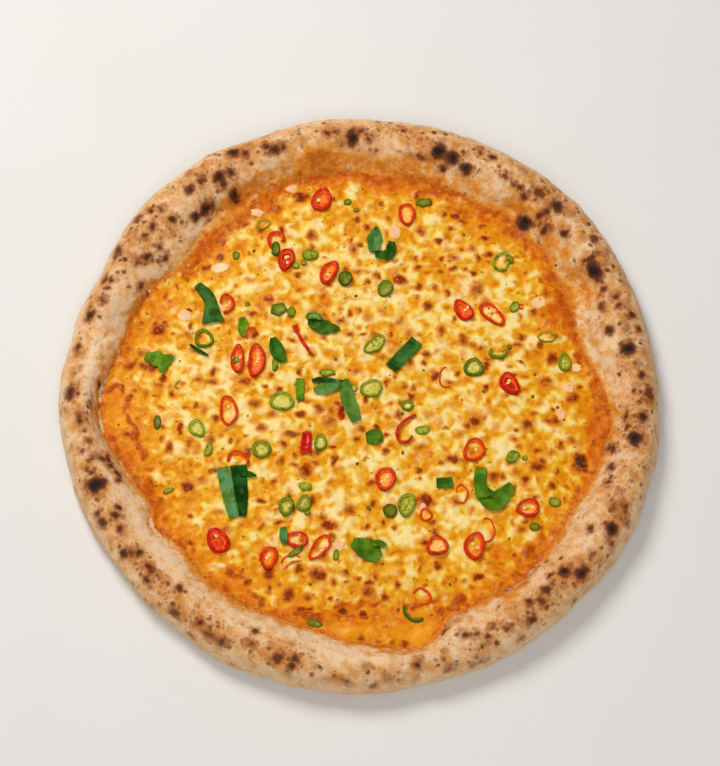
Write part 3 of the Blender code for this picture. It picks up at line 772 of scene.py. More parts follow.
# Larger toasted bubbles: place, size in x and y, how dark, and how red.
TOASTED = (
    (-35, 88, 5, 6, 0.8, 0.2), (34, 91.5, 4, 4, 1, 0.3), (15, 66, 7, 5, 0.9, 0.8), (37, 81.5, 3, 3, 0.9, 0.2),
    (-8, 85.5, 3.5, 3.5, 0.9, 0.2), (3, 68, 4, 4, 0.9, 0.2), (-3, 64, 3, 3, 0.9, 0.2), (41, 61, 4, 5, 0.8, 0.2),
    (31, 53, 5, 6, 0.8, 0.3), (36, 108, 4, 4, 0.8, 0.3), (22, 80.5, 3, 3, 0.9, 0.2), (59, 95.5, 5, 4, 1, 1),
    (63, 85.5, 5, 4, 0.9, 1), (57, 65, 7, 8, 0.7, 0.2), (54, 74, 4, 3, 0.9, 0.3), (92, 73, 3, 3, 0.8, 0.3),
    (100, 28, 6, 7, 0.8, 0.8), (60, -11, 10, 10, 0.55, 0.5), (60.5, -12, 5, 5, 0.95, 0.4), (88, -11, 7, 7, 0.8, 0.4),
    (103, -8, 6, 6, 0.8, 0.4), (112, 6, 7, 7, 0.7, 0.5), (97, 14, 7, 7, 0.7, 0.4), (95, -34, 8, 7, 0.8, 0.5),
    (72, -42, 8, 6, 0.7, 0.5), (117.5, -30, 7, 9, 1.25, 0.2), (106, -21, 5, 5, 0.8, 0.3), (105, -36, 4, 4, 0.8, 0.4),
    (103, -44, 4, 4, 0.8, 0.4), (122, 16, 4, 4, 0.8, 0.5), (-125, 4, 6, 5, 0.9, 0.3), (-107, -2, 4, 4, 0.9, 0.3),
    (-88, -16, 3, 3, 0.8, 0.2), (-52, -25, 5, 5, 0.7, 0.3), (-67.5, -34, 3, 3, 0.8, 0.2), (-78, -34, 5, 5, 0.7, 0.3),
    (-101, -10, 4, 4, 0.8, 0.3), (14, 29, 7, 7, 0.5, 0.3), (12, 35, 2, 5, 0.8, 0.3), (31, 19.5, 3, 4, 0.8, 0.3),
    (26.5, 5, 2, 5, 0.8, 0.3), (1.5, -21.5, 4, 4, 0.8, 0.2), (-32, -16, 5, 4, 0.8, 0.4), (-17, -19, 8, 6, 0.6, 0.5),
    (14, -33, 4, 4, 0.8, 0.2), (32.5, -42, 4, 4, 0.9, 0.2), (-40, -43, 5, 5, 0.7, 0.3), (-12, -40, 3, 8, 0.8, 0.3),
    (-27, -47, 8, 7, 0.8, 0.8), (-22, -63, 5, 5, 1.0, 0.0), (-12, -76, 10, 5, 0.8, 0.7), (-2, -67, 6, 6, 0.7, 0.3),
    (37, -58.5, 8, 7, 0.95, 1.0), (22, -74, 3, 4, 0.8, 0.2), (-15.5, -103, 9, 7, 0.85, 0.6), (11, -110.5, 8, 8, 0.7, 0.4),
    (20, -112, 4, 4, 0.9, 0.4), (5, -103.5, 4, 3, 0.8, 0.3), (-3, -119, 6, 6, 0.6, 0.5), (-1, -121, 5, 5, 1.0, 0.3),
    (9, -122, 5, 4, 0.9, 1.0), (-23, -122, 6, 4, 0.8, 0.6), (-30, -115, 6, 8, 0.8, 0.5), (-41, -105, 6, 8, 0.8, 0.5),
    (-87, -61, 7, 6, 0.9, 0.5), (-101, -70, 5, 5, 0.9, 0.4), (-108, -62, 5, 8, 0.8, 0.5), (-60, -106, 7, 3, 1.0, 1.0),
    (-52, -110, 5, 5, 0.8, 0.4), (-48, -66, 5, 3, 0.8, 0.4), (59, -110, 5, 6, 0.9, 0.5), (57, -115, 4, 3, 0.9, 0.5),
    (67.5, -97, 5, 3, 0.9, 0.5), (93, -82, 5, 9, 0.6, 0.9), (99, -72, 4, 7, 0.7, 0.7), (108.5, -69, 6, 5, 0.8, 0.5),
    (-100, 57, 3, 4, 0.9, 0.3), (-112, 25.5, 8, 7, 0.95, 1.0), (-43, 111, 6, 6, 1.0, 1.0), (65, 20, 4, 5, 0.8, 0.9),
    (-36, -27, 10, 4.6, 0.75, 0.2), (35, -116, 8, 4, 0.6, 1.0), (-10.5, -13, 3, 8, 1.0, 1.0), (-123, -14, 5, 4, 0.9, 0.3),
    (-118, -34, 5, 7, 0.8, 0.8), (-112, -46, 6, 5, 0.8, 0.7), (-99, -41, 4, 6, 0.9, 0.3), (-95, -29, 3, 6, 0.9, 0.6),
)  # fmt: skip
# Paler pools of soft cheese: place, half sizes, amount.
POOLS = (
    (-72, 62, 9, 7, 0.9), (-88, 8, 8, 9, 0.9), (-95, -22, 10, 8, 0.8), (-70, -3, 9, 7, 0.6),
    (-45, -22, 8, 6, 0.8), (-22, -40, 8, 6, 0.5), (-38, 2, 7, 6, 0.5), (-55, 40, 10, 8, 0.5),
    (-15, 116, 8, 5, 1.2), (5, 52, 9, 6, 0.5), (45, 30, 9, 8, 0.6), (40, -10, 11, 8, 0.6),
    (48, -60, 8, 9, 0.7), (80, -18, 7, 9, 0.8), (93, -50, 6, 6, 0.7), (18, -80, 9, 6, 0.8),
    (-5, -57, 9, 6, 0.6), (52, -70, 7, 6, 0.7), (70, -5, 8, 6, 0.5), (85, 40, 8, 6, 0.5),
    (20, 40, 8, 5, 0.5), (-30, 95, 8, 6, 0.4), (70, 70, 7, 5, 0.4), (0, -96, 8, 5, 0.5),
    (70, 90, 3, 3, 1.0), (49, 62, 4, 4, 0.9), (-83, -4, 4, 4, 0.9), (-99, -16, 4, 4, 0.9),
    (-77, 8, 4, 4, 0.8), (-15, 117, 6, 5, 1.6), (112, 12, 4, 5, 0.6), (-20, 45, 4, 3, 0.6),
    (-75, -62, 8, 6, 0.4), (30, -22, 8, 6, 0.5), (100, -16, 5, 6, 0.5), (-95, 30, 7, 7, 0.5),
)  # fmt: skip
# Sauce and oil that show through: place, half sizes, amount.
SAUCY = (
    (-26, 53, 5, 8, 1.7), (101, 53, 8, 9, 2.0), (124, -8, 5, 16, 1.3), (-60, 104, 8, 6, 1.5),
    (38, -31, 5, 5, 1.2), (112, -52, 8, 9, -0.3), (80, -92, 14, 9, 0.6), (30, -124, 22, 8, 1.2),
    (-10, -126, 18, 6, 0.9), (-128, -22, 8, 14, 1.0), (-90, 82, 8, 10, 1.3), (-112, 30, 7, 12, 1.1),
    (10, 120, 22, 6, 0.7), (60, 108, 14, 7, 0.6), (-118, -45, 6, 12, 0.7), (-95, -84, 12, 8, 0.7),
    (-60, -112, 14, 7, 0.5), (118, 30, 6, 12, 0.6), (60, -103, 12, 6, 0.0), (75, -82, 8, 6, 0.7),
)  # fmt: skip
# Places where the cheese is smooth, with few bubbles.
CALM = ((-129, -25, 9, 13, 1.0), (38, -128, 12, 8, 1.0), (98, -88, 8, 7, 0.6), (2, -131, 14, 5, 0.7))
# Dark red lines where the sauce has cooked on at the edge: direction and distance
# along the line, width, strength.
SEARED = (
    (((15, 118), (20, 118), (26, 118.5), (33, 121)), 3.6, 0.9), (((53, 128), (55, 124)), 5.0, 0.9),
    (((75, 126), (80, 125)), 4.0, 1.1), (((89, 129), (97, 129.5)), 3.2, 1.2),
    (((104, 129.5), (112, 129.5), (120, 128)), 4.0, 1.2), (((118, 127), (119, 118)), 4.5, 0.7),
    (((122, 123), (128, 118.5), (136, 118.5), (141, 119), (147, 118)), 3.0, 1.1),
    (((133, 120), (142, 119.5)), 7.0, 1.4), (((149, 116), (151, 116)), 4.0, 1.0),
    (((185, 138), (183.5, 132), (185, 127), (190, 125), (196, 124)), 3.0, 1.1),
    (((195, 122), (203, 121.5)), 4.0, 1.0), (((205, 126), (213, 125)), 4.0, 0.7),
    (((240, 121), (244, 125), (250, 127)), 4.0, 0.8), (((258, 126), (262, 127), (268, 124)), 3.6, 1.0),
    (((268, 119), (274, 117.5), (281, 116.5)), 2.4, 0.8), (((287, 121), (292, 122)), 4.0, 0.9),
    (((293, 127), (298, 124.5)), 4.0, 0.9), (((315, 124), (321, 123)), 6.0, 0.8),
    (((349, 127), (360, 126)), 5.0, 0.7), (((0, 126), (9, 124)), 4.0, 0.8), (((66, 120), (69, 119)), 4.0, 0.7),
    (((157, 126), (165, 128)), 3.0, 0.6), (((173, 127), (180, 128)), 4.0, 0.7),
)  # fmt: skip
# Directions where it stays bright right up to its edge: direction, amount, half width.
BRIGHT = (
    (278, 0.85, 24), (181, 0.55, 10), (160, 0.45, 12), (233, 0.35, 9), (332, 0.3, 8), (15, 0.3, 7),
)  # fmt: skip
# Such cooked lines within the cheese: path, width.
STREAKS = (
    (((-33, -101), (-29, -98), (-25, -96)), 1.4),
    (((-2, -124), (9, -123.5), (20, -121.5)), 1.0),
    (((30, -115.5), (37, -116.5), (43, -115)), 1.4),
    (((46, -131), (50, -124), (52, -117)), 1.2),
    (((60, -113), (66, -112), (70, -106)), 1.2),
    (((-64.5, 24), (-63.5, 28), (-60, 31)), 1.4),
)  # fmt: skip


def gathered(x, y, rows):
    total = np.zeros_like(x)
    for at_x, at_y, half_x, half_y, amount in rows:
        total += amount * np.exp(-(((x - at_x) / half_x) ** 2) - ((y - at_y) / half_y) ** 2)
    return total


def line_distance(x, y, path):
    best = np.full_like(x, 1e9)
    for (ax, ay), (bx, by) in zip(path, path[1:], strict=False):
        dx, dy = bx - ax, by - ay
        t = np.clip(((x - ax) * dx + (y - ay) * dy) / (dx * dx + dy * dy), 0, 1)
        best = np.minimum(best, np.hypot(x - ax - dx * t, y - ay - dy * t))
    return best


def scattered(rng, spacing, tries, reach):
    """Places on the cheese that keep their distance from each other."""
    found = np.empty((0, 2))
    for _ in range(tries):
        spot = rng.uniform(-142, 142, 2)
        degrees = math.degrees(math.atan2(spot[1], spot[0]))
        if math.hypot(*spot) > float(well(degrees)) - reach:
            continue
        gap = spacing * rng.uniform(0.75, 1.3)
        if len(found) and np.min(np.sum((found - spot) ** 2, 1)) < gap * gap:
            continue
        found = np.vstack([found, spot])
    return found


def cheese_edge(degrees):
    turn = np.radians(degrees)
    ring = np.stack([130 * np.cos(turn), 130 * np.sin(turn), 0 * turn], 1)
    return well(degrees) + 3.6 + 1.5 * noise(ring, 12.0, 51, 2) + 0.9 * noise(ring, 4.5, 53)


def make_cheese(rind):
    many = 864
    turns = np.arange(many) * 360 / many
    edge = cheese_edge(turns)
    inn = well(turns)
    shares, share = [], 1.0
    while share > 0.012:
        shares.append(share)
        share -= 0.86 / 133.0
    every = [1 if v > 0.5 else 2 if v > 0.25 else 4 if v > 0.125 else 8 for v in shares]
    every = [e if v > 0.06 else 16 for e, v in zip(every, shares, strict=True)]
    c, s = np.cos(np.radians(turns)), np.sin(np.radians(turns))

    def ring(radius, height, step):
        return np.stack([(radius * c)[::step], (radius * s)[::step], height[::step]], 1)

    rings = []
    for share, step in ((0.1, 16), (0.25, 8), (0.5, 4), (0.75, 2)):
        rings.append(ring((inn - 6.8) * share, 0 * inn + FLOOR + 0.45, step))
    rings.append(ring(inn - 6.8, 0 * inn + FLOOR + 0.45, 1))
    rings.append(ring(inn - 3.2, 0 * inn + 5.65, 1))
    start = 1 + sum(len(r) for r in rings)
    for share, step in zip(shares, every, strict=True):
        rings.append(ring(edge * share, 0 * edge, step))
    points, faces = skin(rings, np.array([0, 0, FLOOR + 0.45]), np.zeros(3))

    top = np.arange(len(points)) >= start
    x, y = points[top, 0], points[top, 1]
    flat = np.stack([x, y, 0 * x + 9.0], 1)
    radius, degrees = np.hypot(x, y), np.degrees(np.arctan2(y, x))
    inn, rim = well(degrees), cheese_edge(degrees)
    share = np.minimum(radius / (inn - 0.7), 1.0)
    z = cheese_height(x, y, share)
    # It climbs the slope of the rim as a film that thins out to nothing.
    ridge = outer(degrees) - CROWN_BACK
    part = (radius - inn) / (ridge - inn)
    slope = np.where(
        part > 0,
        slope_height(np.clip(part, 0, 1), crown(degrees)),
        EDGE_HEIGHT + (radius - inn) * 0.7,
    )
    slope += dough_lift(np.stack([x, y, slope], 1)) * smooth(radius, inn - 4.5, inn - 0.5)
    for k in np.flatnonzero(radius > inn - 0.5):
        hit = rind.ray_cast(Vector((x[k], y[k], 60.0)), Vector((0, 0, -1)))[0]
        slope[k] += (hit.z - slope[k]) * min(1.0, (radius[k] - inn[k] + 0.5) / 1.5)
    film = 0.7 * smooth(rim - radius, 1.4, 9.0) + 0.1
    film -= 0.9 * smooth(radius - rim, -2.2, 0.0)
    # Where the slope is steep, the cheese just meets it.
    steep = smooth(ridge - inn, 17.0, 12.5)
    film -= 1.7 * steep * smooth(radius - inn, -1.0, 0.8)
    slope += film
    z = 0.5 * (z + slope + np.sqrt((z - slope) ** 2 + 0.4))

    inside = smooth(rim - radius, 1.0, 6.0)
    past = radius - brink(degrees)
    stained = smooth(past, -1.0, 2.5)
    inside *= 1 - 0.6 * stained
    pool = gathered(x, y, POOLS) + 0.55 * noise(flat, 13.0, 61, 2)
    pool += 0.25 * smooth(radius, 105, 60) - 0.45 * smooth(radius, 104, 122)
    verge = smooth(rim - radius, 17.0, 3.0)
    bright = np.clip(swell(degrees, BRIGHT), 0, 1)
    sauce = gathered(x, y, SAUCY) + 0.7 * verge * (1 - 0.6 * bright)
    sauce += 0.35 * noise(flat, 11.0, 62, 2) + 0.7 * verge * noise(flat, 7.0, 72, 2)
    sauce += 0.32 * smooth(radius, 90, 118)
    calm = np.clip(gathered(x, y, CALM), 0, 1)
    # How pale and soft the melted shreds are, from 0 to 1.
    drift = flat.copy()
    drift[:, 0] += 1.6 * noise(flat, 6.0, 67)
    drift[:, 1] += 1.6 * noise(flat, 6.0, 68)
    melt = 0.3 * noise(drift, 10.0, 69) + 0.75 * noise(drift, 5.6, 70)
    melt += 0.4 * noise(drift, 2.9, 71) + 0.5 * pool - 0.25 * sauce
    melt[np.argsort(melt)] = np.linspace(0, 1, len(melt))

    # Melted shreds, then bubbles.
    shred = noise(flat, 6.5, 63, 2)
    z += inside * (1 - 0.7 * calm) * (0.28 * shred + 0.14 * noise(flat, 2.6, 64))
    z += inside * (1 - 0.5 * calm) * 0.8 * (melt - 0.5)
    rng = np.random.default_rng(5)
    toast, red = np.zeros_like(x), np.zeros_like(x)
    off_x = x + 1.0 * noise(flat, 4.2, 65, 2)
    off_y = y + 1.0 * noise(flat, 4.2, 66, 2)
    order = np.argsort(x)
    sorted_x = x[order]

    def bubble(bx, by, wide_x, wide_y, tall, dark, ruddy, blur=2.4):
        reach = max(wide_x, wide_y) + 1.5
        lo, hi = np.searchsorted(sorted_x, (bx - reach, bx + reach))
        near = order[lo:hi]
        d = np.hypot((off_x[near] - bx) / (wide_x / 2), (off_y[near] - by) / (wide_y / 2))
        keep = d < 2.0
        near, d = near[keep], d[keep]
        if not len(near):
            return
        z[near] += tall * np.clip(1 - d * d, 0, 1) ** 2
        z[near] -= 0.3 * tall * np.clip(1 - (d / 0.45) ** 2, 0, 1) ** 2
        amount = dark * np.exp(-(d**blur))
        toast[near] = np.maximum(toast[near], amount)
        red[near] = np.maximum(red[near], amount * ruddy)

    spots = scattered(rng, 5.8, 30000, 0.5)
    spot3 = np.concatenate([spots, np.zeros((len(spots), 1)) + 9.0], 1)
    spot_pool = gathered(spots[:, 0], spots[:, 1], POOLS) + 0.4 * noise(spot3, 13.0, 61, 2)
    spot_calm = gathered(spots[:, 0], spots[:, 1], CALM)
    big = np.array([row[:2] for row in TOASTED])
    for (bx, by), pale, still in zip(spots, spot_pool, spot_calm, strict=True):
        wide = rng.uniform(2.8, 7.0)
        dark = 0.28 + 1.1 * rng.uniform(0, 1) ** 1.7 - 0.32 * max(pale, 0.0)
        stretch, tall, ruddy = rng.uniform(0.72, 1.38), rng.uniform(0.25, 0.7), rng.uniform(0, 0.8)
        if still > 0.45 or dark < 0.1:
            continue
        if np.min(np.hypot(big[:, 0] - bx, big[:, 1] - by)) < 3.6:
            continue
        bubble(bx, by, wide * stretch, wide / stretch, tall, dark, ruddy, 1.8)
    for bx, by, wide_x, wide_y, dark, ruddy in TOASTED:
        tall = min(1.2, 0.14 * (wide_x + wide_y) / 2 + 0.2)
        bubble(bx, by, wide_x * 1.22, wide_y * 1.22, tall, dark * 1.45, ruddy)
    streak = np.zeros_like(x)
    for path, wide in STREAKS:
        away = line_distance(off_x, off_y, path)
        streak = np.maximum(streak, 0.9 * (1 - smooth(away, 0.0, wide * 1.2)))
        z -= 0.25 * (1 - smooth(away, 0, wide)) * inside
    bent_x, bent_y = off_x + 1.7 * noise(flat, 7.0, 73), off_y + 1.7 * noise(flat, 7.0, 74)
    fade = np.clip(0.95 + 0.7 * noise(flat, 6.0, 75, 2), 0.2, 1.4)
    for path, wide, strength in SEARED:
        line = [(r * math.cos(math.radians(d)), r * math.sin(math.radians(d))) for d, r in path]
        away = line_distance(bent_x, bent_y, line)
        streak = np.maximum(streak, strength * fade * (1 - smooth(away, 0.0, wide * 1.1)))
    toast *= 1 - stained
    points[top, 2] = z

    def whole(values):
        full = np.zeros(len(points))
        full[top] = values
        return full

    near = x**2 + y**2 > 108**2
    scorch, toasted = np.full(len(x), -1.5), np.full(len(x), -1.5)
    ground = np.stack([x, y, np.maximum(z, CHEESE_TOP)], 1)
    scorch[near], toasted[near], _ = scorched(ground[near])
    dough = dough_values(ground, scorch, toasted)
    pile = Pile("toast", "ruddy", "melt", "sauce", "streak", "calm", "edge", "past", *DOUGH_VALUES)
    solid = pile.add(
        points,
        faces,
        toast=whole(toast),
        ruddy=whole(red),
        melt=whole(melt),
        sauce=whole(np.clip(sauce, -1, 2)),
        streak=whole(streak),
        calm=whole(calm),
        edge=whole(np.clip(bright - past / 10, -1, 1.6)),
        past=whole(np.clip(past / 4, -3, 3)),
        **{name: whole(values) for name, values in dough.items()},
    )

    p = Paint("melted_cheese", roughness=0.4, specular=0.24, glint=(1.0, 0.8, 0.4))
    ragged = p.moved(1.8)
    blotch = p.noise(5.0, 3.0, 0.6, ragged)
    small = p.noise(2.3, 2.0, 0.55, ragged)
    tone = p.sum("MULTIPLY_ADD", p.sum("SUBTRACT", small, 0.5), 0.6, p.value("melt"))
    tone = p.sum("MULTIPLY_ADD", p.sum("SUBTRACT", blotch, 0.5), 0.4, tone)
    colour = p.ramp(
        tone, (0.0, tint(198, 106, 0)), (0.13, tint(221, 136, 4)),
        (0.3, tint(228, 163, 22)), (0.5, tint(234, 185, 58)),
        (0.7, tint(239, 202, 98)), (0.9, tint(242, 216, 144)),
    )  # fmt: skip
    # Golden patches, where it has begun to toast.
    gold = p.noise(8.5, 3.0, 0.55, ragged)
    gold = p.sum("MULTIPLY_ADD", p.value("melt"), -0.16, gold)
    colour = p.mix(p.step(gold, 0.4, 0.56, 0.0, 0.65), colour, tint(228, 152, 18))
    colour = p.mix(p.step(gold, 0.53, 0.65, 0.0, 0.65), colour, tint(208, 108, 6))
    # Pinkish white scraps under the surface.
    near, lot, number = p.cells(6.5, p.moved(4.5))
    scrap = p.sum("MULTIPLY", p.step(near, 0.46, 0.2), p.step(lot, 0.84, 0.9))
    colour = p.mix(p.sum("MULTIPLY", scrap, 0.45), colour, tint(248, 214, 172))
    # Sauce and oil.
    wet = p.sum("MULTIPLY_ADD", p.sum("SUBTRACT", blotch, 0.5), 2.8, p.value("sauce"))
    wet = p.sum("MULTIPLY_ADD", p.sum("SUBTRACT", small, 0.5), 1.2, wet)
    colour = p.mix(p.step(wet, 0.45, 1.2, 0.0, 0.75), colour, tint(224, 126, 10))
    colour = p.mix(p.step(wet, 0.95, 1.7, 0.0, 0.85), colour, tint(192, 68, 0))
    colour = p.mix(p.sum("MULTIPLY", p.value("calm"), 0.7), colour, tint(234, 156, 26))
    # Toasted skins, ochre round them and dark in the middle.
    burn = p.sum("MULTIPLY_ADD", p.sum("SUBTRACT", small, 0.5), 0.8, 1.0)
    burn = p.sum("MULTIPLY_ADD", p.sum("SUBTRACT", blotch, 0.5), 0.6, burn)
    burn = p.sum("MULTIPLY", burn, p.value("toast"))
    colour = p.mix(p.step(burn, 0.05, 0.45, 0.0, 0.75), colour, tint(224, 138, 10))
    brown = p.mix(p.step(p.value("ruddy"), 0.2, 0.6), tint(184, 90, 0), tint(178, 58, 0))
    colour = p.mix(p.step(burn, 0.32, 0.85, 0.0, 0.8), colour, brown)
    deep = p.mix(p.step(p.value("ruddy"), 0.2, 0.6), tint(124, 50, 0), tint(120, 20, 0))
    colour = p.mix(p.step(burn, 0.74, 1.12, 0.0, 0.88), colour, deep)
    colour = p.mix(p.step(burn, 1.32, 1.6, 0.0, 0.9), colour, tint(48, 22, 16))
    # Lines of sauce that have cooked dark.
    cooked = p.sum("MULTIPLY_ADD", p.sum("SUBTRACT", small, 0.5), 0.8, 1.0)
    cooked = p.sum("MULTIPLY_ADD", p.sum("SUBTRACT", blotch, 0.5), 1.8, cooked)
    cooked = p.sum("MULTIPLY", cooked, p.value("streak"))
    colour = p.mix(p.step(cooked, 0.1, 0.6, 0.0, 0.7), colour, tint(208, 98, 2))
    colour = p.mix(p.step(cooked, 0.5, 1.0, 0.0, 0.75), colour, tint(156, 50, 0))
    # Where it thins out against the rim it has cooked darker.
    verge = p.sum("MULTIPLY_ADD", p.sum("SUBTRACT", blotch, 0.5), 3.2, p.value("edge"))
    colour = p.mix(p.step(verge, 0.9, 0.15, 0.0, 0.75), colour, tint(208, 104, 6))
    colour = p.mix(p.step(verge, 0.36, -0.15, 0.0, 0.75), colour, tint(166, 58, 2))
    # Tiny specks of dried herb and pepper.
    near, lot, number = p.cells(3.2, ragged)
    herb = p.sum("MULTIPLY", p.step(near, 0.3, 0.14), p.step(lot, 0.86, 0.9))
    colour = p.mix(p.sum("MULTIPLY", herb, 0.7), colour, tint(112, 96, 18))
    rough = p.step(small, 0.3, 0.7, 0.26, 0.5)
    normal = p.relief(p.noise(1.1, 3.0, 0.6), 0.12)
    normal = p.relief(small, 0.4, normal)
    # Past its brink only a stain is left on the dough.
    bare, _, _, _ = dough_paint(p)
    stain = p.sum("MULTIPLY_ADD", p.sum("SUBTRACT", blotch, 0.5), 3.2, p.value("past"))
    stain = p.sum("MULTIPLY_ADD", p.sum("SUBTRACT", small, 0.5), 1.2, stain)
    stain = p.step(stain, -0.25, 0.45)
    colour = p.mix(stain, colour, bare)
    rough = p.sum("MAXIMUM", rough, p.sum("MULTIPLY", stain, 0.8))
    pile.make("baked_cheese", p.finish(colour, rough, normal), ["cheese_layer"])
    return solid


# ---- what lies on the cheese -------------------------------------------------
class Ground:
    """The cheese and the pieces laid so far, to lay the next one on."""

    def __init__(self):
        self.laid = []

    def add(self, points, faces):
        tree = BVHTree.FromPolygons(points.tolist(), faces)
        low, high = points.min(0), points.max(0)
        self.laid.append((low[0], high[0], low[1], high[1], tree))

    def height(self, x, y, only_first=False):
        best = 0.0
        for x0, x1, y0, y1, tree in self.laid[:1] if only_first else self.laid:
            if x0 <= x <= x1 and y0 <= y <= y1:
                hit = tree.ray_cast(Vector((x, y, 60.0)), Vector((0, 0, -1)))[0]
                if hit is not None:
                    best = max(best, hit.z)
        return best


def wavy(rng, count, strength, lobes=(2, 3, 5, 7)):
    """A closed line of small ups and downs."""
    turn = np.arange(count) * 2 * np.pi / count
    line = np.zeros(count)
    for k in lobes:
        line += rng.normal(0, 1 / k**0.5) * np.cos(k * turn + rng.uniform(0, 6.3))
    return line * strength / 1.6


# Across a wall from its outer foot over the top and down its inner side: how far
# in, how high, and how much of the colour is skin.
WALL = (
    (0.04, 0.0, 1.0), (-0.03, 0.25, 1.0), (-0.05, 0.5, 1.0), (0.0, 0.76, 1.0), (0.1, 0.93, 0.95),
    (0.27, 1.0, 0.75), (0.48, 0.98, 0.45), (0.7, 0.9, 0.2), (0.9, 0.76, 0.05), (1.02, 0.55, 0.0),
    (1.07, 0.3, 0.0), (1.02, 0.0, 0.0), (0.5, -0.1, 0.3),
)  # fmt: skip


def lay_ring(ground, pile, row, rng, sink=0.5, tone=0.0, bulge=0.0, sides=60, grow=1.0):
    """A slice across a pepper, laid on the cheese and a little sunk into it."""
    x, y, long, short, turn, wall, tall, gap_at, gap = row
    tall *= 0.85
    if gap:
        start, span = gap_at + gap / 2 - turn, 360 - gap
        steps = max(18, round(sides * span / 360))
        turns = start + span * np.arange(steps + 1) / steps
    else:
        turns = np.arange(sides) * 360 / sides
    a, c, s = np.radians(turns), math.cos(math.radians(turn)), math.sin(math.radians(turn))
    many = len(turns)
    stretch = 1 + 0.05 * np.cos(3 * a + x)
    count = max(many, sides)
    wob = wavy(rng, count, 0.028)[:many]
    thick = grow * wall * (1 + wavy(rng, count, 0.16)[:many])
    flesh = np.clip(wavy(rng, count, 0.5, (3, 5, 8)) + 0.4, 0, 1.2)[:many] * bulge
    lean = wavy(rng, count, 0.22, (1, 2))[:many]
    ex, ey = long / 2 * (stretch + wob) * np.cos(a), short / 2 * (stretch + wob) * np.sin(a)
    reach = np.hypot(ex, ey)
    sections = []
    for k in range(many):
        end = 1.0
        if gap:
            end = float(smooth(min(k, many - 1 - k) + 0.8, 0.0, 2.6))
        gx, gy = ex[k] * c - ey[k] * s, ex[k] * s + ey[k] * c
        mid = 1 - thick[k] / 2 / reach[k]
        base = ground.height(x + gx * mid, y + gy * mid)
        section = []
        for inward, up, _ in WALL:
            deep = inward * thick[k]
            if inward > 0.85 and 0.1 < up < 0.9:
                deep += flesh[k] * (1 - abs(up - 0.45))
            if not gap or end > 0.99:
                keep = 1 - deep / reach[k]
            else:
                keep = mid + (1 - deep / reach[k] - mid) * end
            keep = max(keep, 0.12)
            z = base - sink + (tall + sink + lean[k]) * max(up, 0) * (0.4 + 0.6 * end)
            if up <= 0:
                z = base - sink - 0.2
            section.append((x + gx * keep, y + gy * keep, z))
        sections.append(section)
    points, faces = tube(sections, not gap)
    shade = np.tile([w[2] for w in WALL], many)
    if gap:
        shade = np.concatenate([shade, [0.4, 0.4]])
    made = pile.add(points, faces, skin=shade, tone=tone)
    return made


def lay_fill(ground, pile, row, rng, fill, grow, tall=0.55):
    """The flesh and pips that fill the inside of a slice."""
    x, y, long, short, turn, wall, *_ = row
    inner = 1.3 * grow * wall
    made = lay_chip(
        ground, pile, x, y, long - inner, short - inner, turn, tall, rng, tone=fill,
        dish=0.3, sink=0.7, count=36, rings=7, rough=0.03,
    )  # fmt: skip
    pile.values["fill"][-1] = np.ones(len(made[0]))
    return made


def make_outline(rng, long, short, turn, count, square=0.0, rough=0.06):
    """A flat closed outline about the middle, round or nearly square."""
    a = np.arange(count) * 2 * np.pi / count
    power = 1 - 0.55 * square
    ex = long / 2 * np.sign(np.cos(a)) * np.abs(np.cos(a)) ** power
    ey = short / 2 * np.sign(np.sin(a)) * np.abs(np.sin(a)) ** power
    grow = 1 + wavy(rng, count, rough)
    c, s = math.cos(math.radians(turn)), math.sin(math.radians(turn))
    return np.stack([(ex * c - ey * s) * grow, (ex * s + ey * c) * grow], 1)


def lay_chip(ground, pile, x, y, long, short, turn, tall, rng, tone=0.0, dish=0.0,
             square=0.0, sink=0.4, count=24, rough=0.06, rings=5, follow=1.0):  # fmt: skip
    """A small cut with rounded edges, its top domed or dished."""
    line = make_outline(rng, long, short, turn, count, square, rough)
    centre = ground.height(x, y)
    foot = np.array([ground.height(x + px, y + py) or centre for px, py in line * 0.8])
    foot = centre + (foot - centre) * follow
    tilt = wavy(rng, count, 0.12 * tall, (1,))
    lump = wavy(rng, count, 0.08 * tall, (2, 3))
    level = []
    skins = []
    for grow, up in ((0.94, -1.0), (1.0, 0.25), (0.97, 0.7), (0.88, 0.94)):
        z = foot - sink if up < 0 else foot + (tall + tilt + lump) * up
        level.append(np.column_stack([x + line[:, 0] * grow, y + line[:, 1] * grow, z]))
        skins.append(np.full(count, 1.0 if grow > 0.93 else 0.8))
    for k in range(1, rings):
        grow = 0.88 * (1 - k / rings)
        up = 1.0 - dish * (1 - grow**2)
        base = centre + (foot - centre) * grow
        z = base + (tall + (tilt + lump) * grow) * up
        level.append(np.column_stack([x + line[:, 0] * grow, y + line[:, 1] * grow, z]))
        skins.append(np.full(count, grow * 0.6))
    low = np.array([x, y, centre - sink])
    high = np.array([x, y, centre + tall * (1 - dish)])
    points, faces = skin(level, low, high)
    shade = np.concatenate([[1.0], *skins, [0.0]])
    return pile.add(points, faces, skin=shade, tone=tone)


def on_path(stops, share):
    stops = [np.array(stop, float) for stop in stops]

    def at(t):
        t = min(max(t, 0.0), 1.0) * (len(stops) - 1)
        k = min(int(t), len(stops) - 2)
        t -= k
        p1, p2 = stops[k], stops[k + 1]
        p0 = stops[k - 1] if k else p1 * 2 - p2
        p3 = stops[k + 2] if k + 2 < len(stops) else p2 * 2 - p1
        return 0.5 * (
            2 * p1
            + (p2 - p0) * t
            + (2 * p0 - 5 * p1 + 4 * p2 - p3) * t * t
            + (3 * p1 - p0 - 3 * p2 + p3) * t**3
        )

    ahead = at(share + 0.02) - at(share - 0.02)
    return at(share), ahead / np.linalg.norm(ahead)


